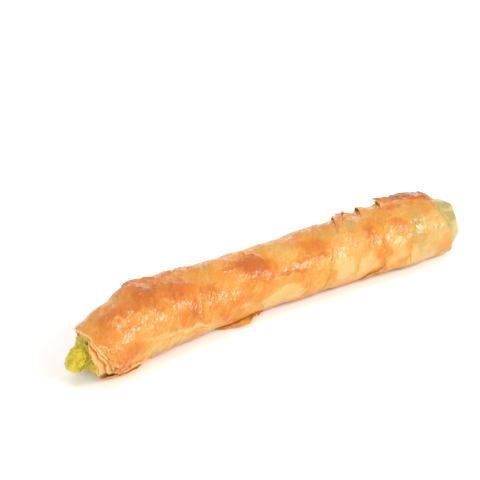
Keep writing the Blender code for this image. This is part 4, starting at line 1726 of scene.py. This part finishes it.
def wraps() -> list[WrapSheet]:
    """The outer wraps from left to right; each one's free edge lies on its neighbour.

    Returns:
        The sheets, ready to build.
    """
    return [
        WrapSheet("left_wrap", LEFT_OUTER_RIM, TORN_LINE, FreeEdge.BOTH, 0.3, 0.5, curl=0.25, seed=1),
        WrapSheet("second_wrap", TORN_LINE, THIRD_LINE, FreeEdge.NEITHER, 0.0, 0.0, curl=0.0, seed=2),
        WrapSheet("third_wrap", THIRD_LINE, LONG_LINE, FreeEdge.LEFT, 0.36, 0.0, curl=0.12, seed=3,
                  crests=((118.0, 26.0, 0.8),)),
        WrapSheet("long_wrap", LONG_LINE, PLEAT_LINE, FreeEdge.LEFT, 0.36, 0.0, curl=0.12, seed=4,
                  crests=((46.0, 12.0, 0.4),)),
        WrapSheet("pleat", PLEAT_LINE, PLEAT_SIDE, FreeEdge.BOTH, 0.4, 0.9, curl=0.12, seed=5,
                  crests=((124.0, 24.0, 3.8),), lip_reach=2.6, left_crest=0.6),
        WrapSheet("fourth_wrap", PLEAT_SIDE, FIFTH_LINE, FreeEdge.NEITHER, 0.0, 0.0, curl=0.0, seed=6),
        WrapSheet("fifth_wrap", FIFTH_LINE, END_LINE, FreeEdge.LEFT, 0.45, 0.0, curl=0.15, seed=7,
                  crests=((124.0, 20.0, 2.6),), lip_reach=4.0),
        WrapSheet("end_wrap", END_LINE, RIGHT_OUTER_RIM, FreeEdge.BOTH, 0.55, 0.2, curl=0.15, seed=8,
                  crests=((-34.0, 18.0, 0.9), (118.0, 20.0, 0.6))),
        WrapSheet("cap_wrap", CAP_LINE, RIGHT_OUTER_RIM, FreeEdge.BOTH, 0.75, 0.7, curl=0.2, seed=9,
                  crests=((122.0, 20.0, 1.8),)),
    ]


def end_layers() -> list[EndLayer]:
    """The inner sheets that show at the two cut ends.

    Returns:
        The layers, ready to build.
    """
    fanned = ((0.10, 0.2, 0.8, 1.5), (0.30, 0.8, 1.0, 1.3), (0.44, -0.9, 0.6, 1.7), (0.66, 0.5, 1.1, 1.3),
              (0.84, -0.7, 0.7, 1.0))
    left = [
        EndLayer(f"left_layer_{number}", LEFT_OUTER_RIM, LEFT_FAN_RIM, share, -1.0, 9 + number,
                 reach=reach, jitter=jitter, thickness=thickness, sway=0.09)
        for number, (share, reach, jitter, thickness) in enumerate(fanned, 1)
    ]
    tapered = ((0.24, 0.14), (0.40, 0.12), (0.56, 0.08), (0.72, 0.04), (0.87, 0.0))
    right = [
        EndLayer(f"right_layer_{number}", RIGHT_INNER_RIM, RIGHT_INNER_RIM, share, 1.0, 29 + number,
                 length=11.0, jitter=0.45, crinkle=0.025, taper=taper)
        for number, (share, taper) in enumerate(tapered, 1)
    ]
    lip = EndLayer("left_lip", LEFT_OUTER_RIM, LEFT_OUTER_RIM, 0.04, -1.0, 17,
                   reach=0.9, swell=1.4, thickness=1.3)
    return [lip, *left, *right]


def flaps() -> list[Flap]:
    """The loose pieces of sheet on the skin.

    Returns:
        The flaps, ready to build.
    """
    return [
        Flap("seam_flap", -42.0, -9.0, ((0, -66), (1, -60)), ((0, -44), (0.5, -36), (1, -34)),
             3.0, 1, browned=0.28, corner=0.6, wave=1.5, in_shade=True),
        Flap("seam_sheet", -106.0, -38.0, ((0, -72), (1, -72)),
             ((0, -14), (0.1, 6), (0.22, 14), (0.47, 5), (0.62, -1), (0.8, -12), (1, -22)),
             0.12, 2, curl=0.4, rag=0.03, browned=-0.04, wave=0.1, rows=220, columns=80, corner=0.12),
        Flap("torn_flap", -89.0, -68.0, ((0, 98), (1, 100)), ((0, 128), (0.5, 130), (1, 124)),
             1.7, 3, browned=0.10, corner=0.4, wave=0.6, lean=-2.0),
        Flap("crisp_flap", 78.0, 109.0, ((0, 100), (0.5, 92), (1, 94)),
             ((0, 134), (0.5, 140), (1, 138)), 2.6, 4, browned=0.28, corner=0.35, curl=1.2, wave=0.6),
        Flap("crisp_corner", 76.0, 86.0, ((0, 98), (1, 100)), ((0, 136), (1, 140)),
             5.0, 10, browned=0.22, corner=0.7, curl=1.2, wave=0.4, rows=50),
        Flap("pleat_flap", 49.5, 61.0, ((0, 96), (1, 100)), ((0, 138), (1, 142)),
             3.6, 5, browned=0.14, corner=0.8, rows=50, curl=1.2, rag=0.04, wave=0.15),
        Flap("heel_flap", -112.0, -90.0, ((0, -64), (1, -60)), ((0, -30), (1, -36)),
             1.2, 6, browned=0.25, corner=0.3, in_shade=True),
        Flap("foot_curl", -116.0, -106.0, ((0, 22), (1, 14)), ((0, 4), (1, -10)),
             1.7, 8, browned=0.05, corner=0.5, rows=50, curl=2.2),
        Flap("under_lip", -116.5, -78.0, ((0, -66), (0.3, -78), (1, -82)),
             ((0, -40), (0.12, -24), (0.3, -18), (0.5, -20), (0.75, -30), (1, -50)),
             0.5, 11, lift_root=-0.4, browned=0.16, corner=0.35, rag=0.05, rows=160, in_shade=True),
        Flap("toe_curl", -113.5, -106.0, ((0, -22), (1, -20)), ((0, -3), (1, 1)),
             1.2, 9, browned=-0.05, corner=0.6, rows=50, curl=2.0),
        Flap("end_fold", 50.0, 64.0, ((0, -60), (1, -30)), ((0, -40), (0.5, -22), (1, -8)),
             0.9, 7, browned=0.3, corner=0.5, rows=60, in_shade=True),
    ]


FILO = FiloFinish()
# A lighter copy of the filo for the sheets at the left cut end: partly their paler, less baked tone and
# partly painted light, as that end faces away from the front lamp.
SOFT_FILO = FiloFinish(
    name="soft_filo",
    ramp=(
        (0.0, (0.80, 0.46, 0.17)),
        (0.3, (0.78, 0.37, 0.095)),
        (0.6, (0.70, 0.26, 0.045)),
        (1.0, (0.50, 0.15, 0.02)),
    ),
    pale_colour=(0.80, 0.50, 0.21), thin_colour=(0.60, 0.42, 0.12), subsurface=0.45,
)
# Painted light: a lighter copy of the filo for the flaps that face down into shade.
SHADED_FILO = FiloFinish(
    name="shaded_filo",
    ramp=(
        (0.0, (0.92, 0.60, 0.25)),
        (0.3, (0.90, 0.49, 0.15)),
        (0.6, (0.84, 0.36, 0.08)),
        (1.0, (0.60, 0.19, 0.03)),
    ),
    pale_colour=(0.94, 0.65, 0.31),
)
TUBE_FILO = FiloFinish(
    name="tube_filo",
    ramp=(
        (0.0, (0.58, 0.41, 0.17)),
        (0.3, (0.49, 0.34, 0.11)),
        (0.6, (0.41, 0.27, 0.07)),
        (1.0, (0.34, 0.19, 0.03)),
    ),
    pale_colour=(0.62, 0.45, 0.20), thin_colour=(0.33, 0.25, 0.06),
)


def main() -> None:
    """Builds the roll piece by piece, then the studio."""
    logging.basicConfig(level=logging.INFO, format="%(message)s")
    # The soft copy of the filo is lighter, partly as painted light, and the shaded copy is painted light
    # for flaps in shade.
    filo, soft, shaded, tube = (finish.make() for finish in (FILO, SOFT_FILO, SHADED_FILO, TUBE_FILO))
    Core().build(filo)
    for sheet in wraps():
        sheet.build(filo)
    for layer in end_layers():
        layer.build(soft if layer.outward < 0.0 else tube)
    for flap in flaps():
        flap.build(shaded if flap.in_shade else filo)
    mash = Mash()
    mash.build(MashFinish().make())
    Pepper(mash).build(PepperFinish().make())
    Studio().build()


if __name__ == "__main__":
    main()
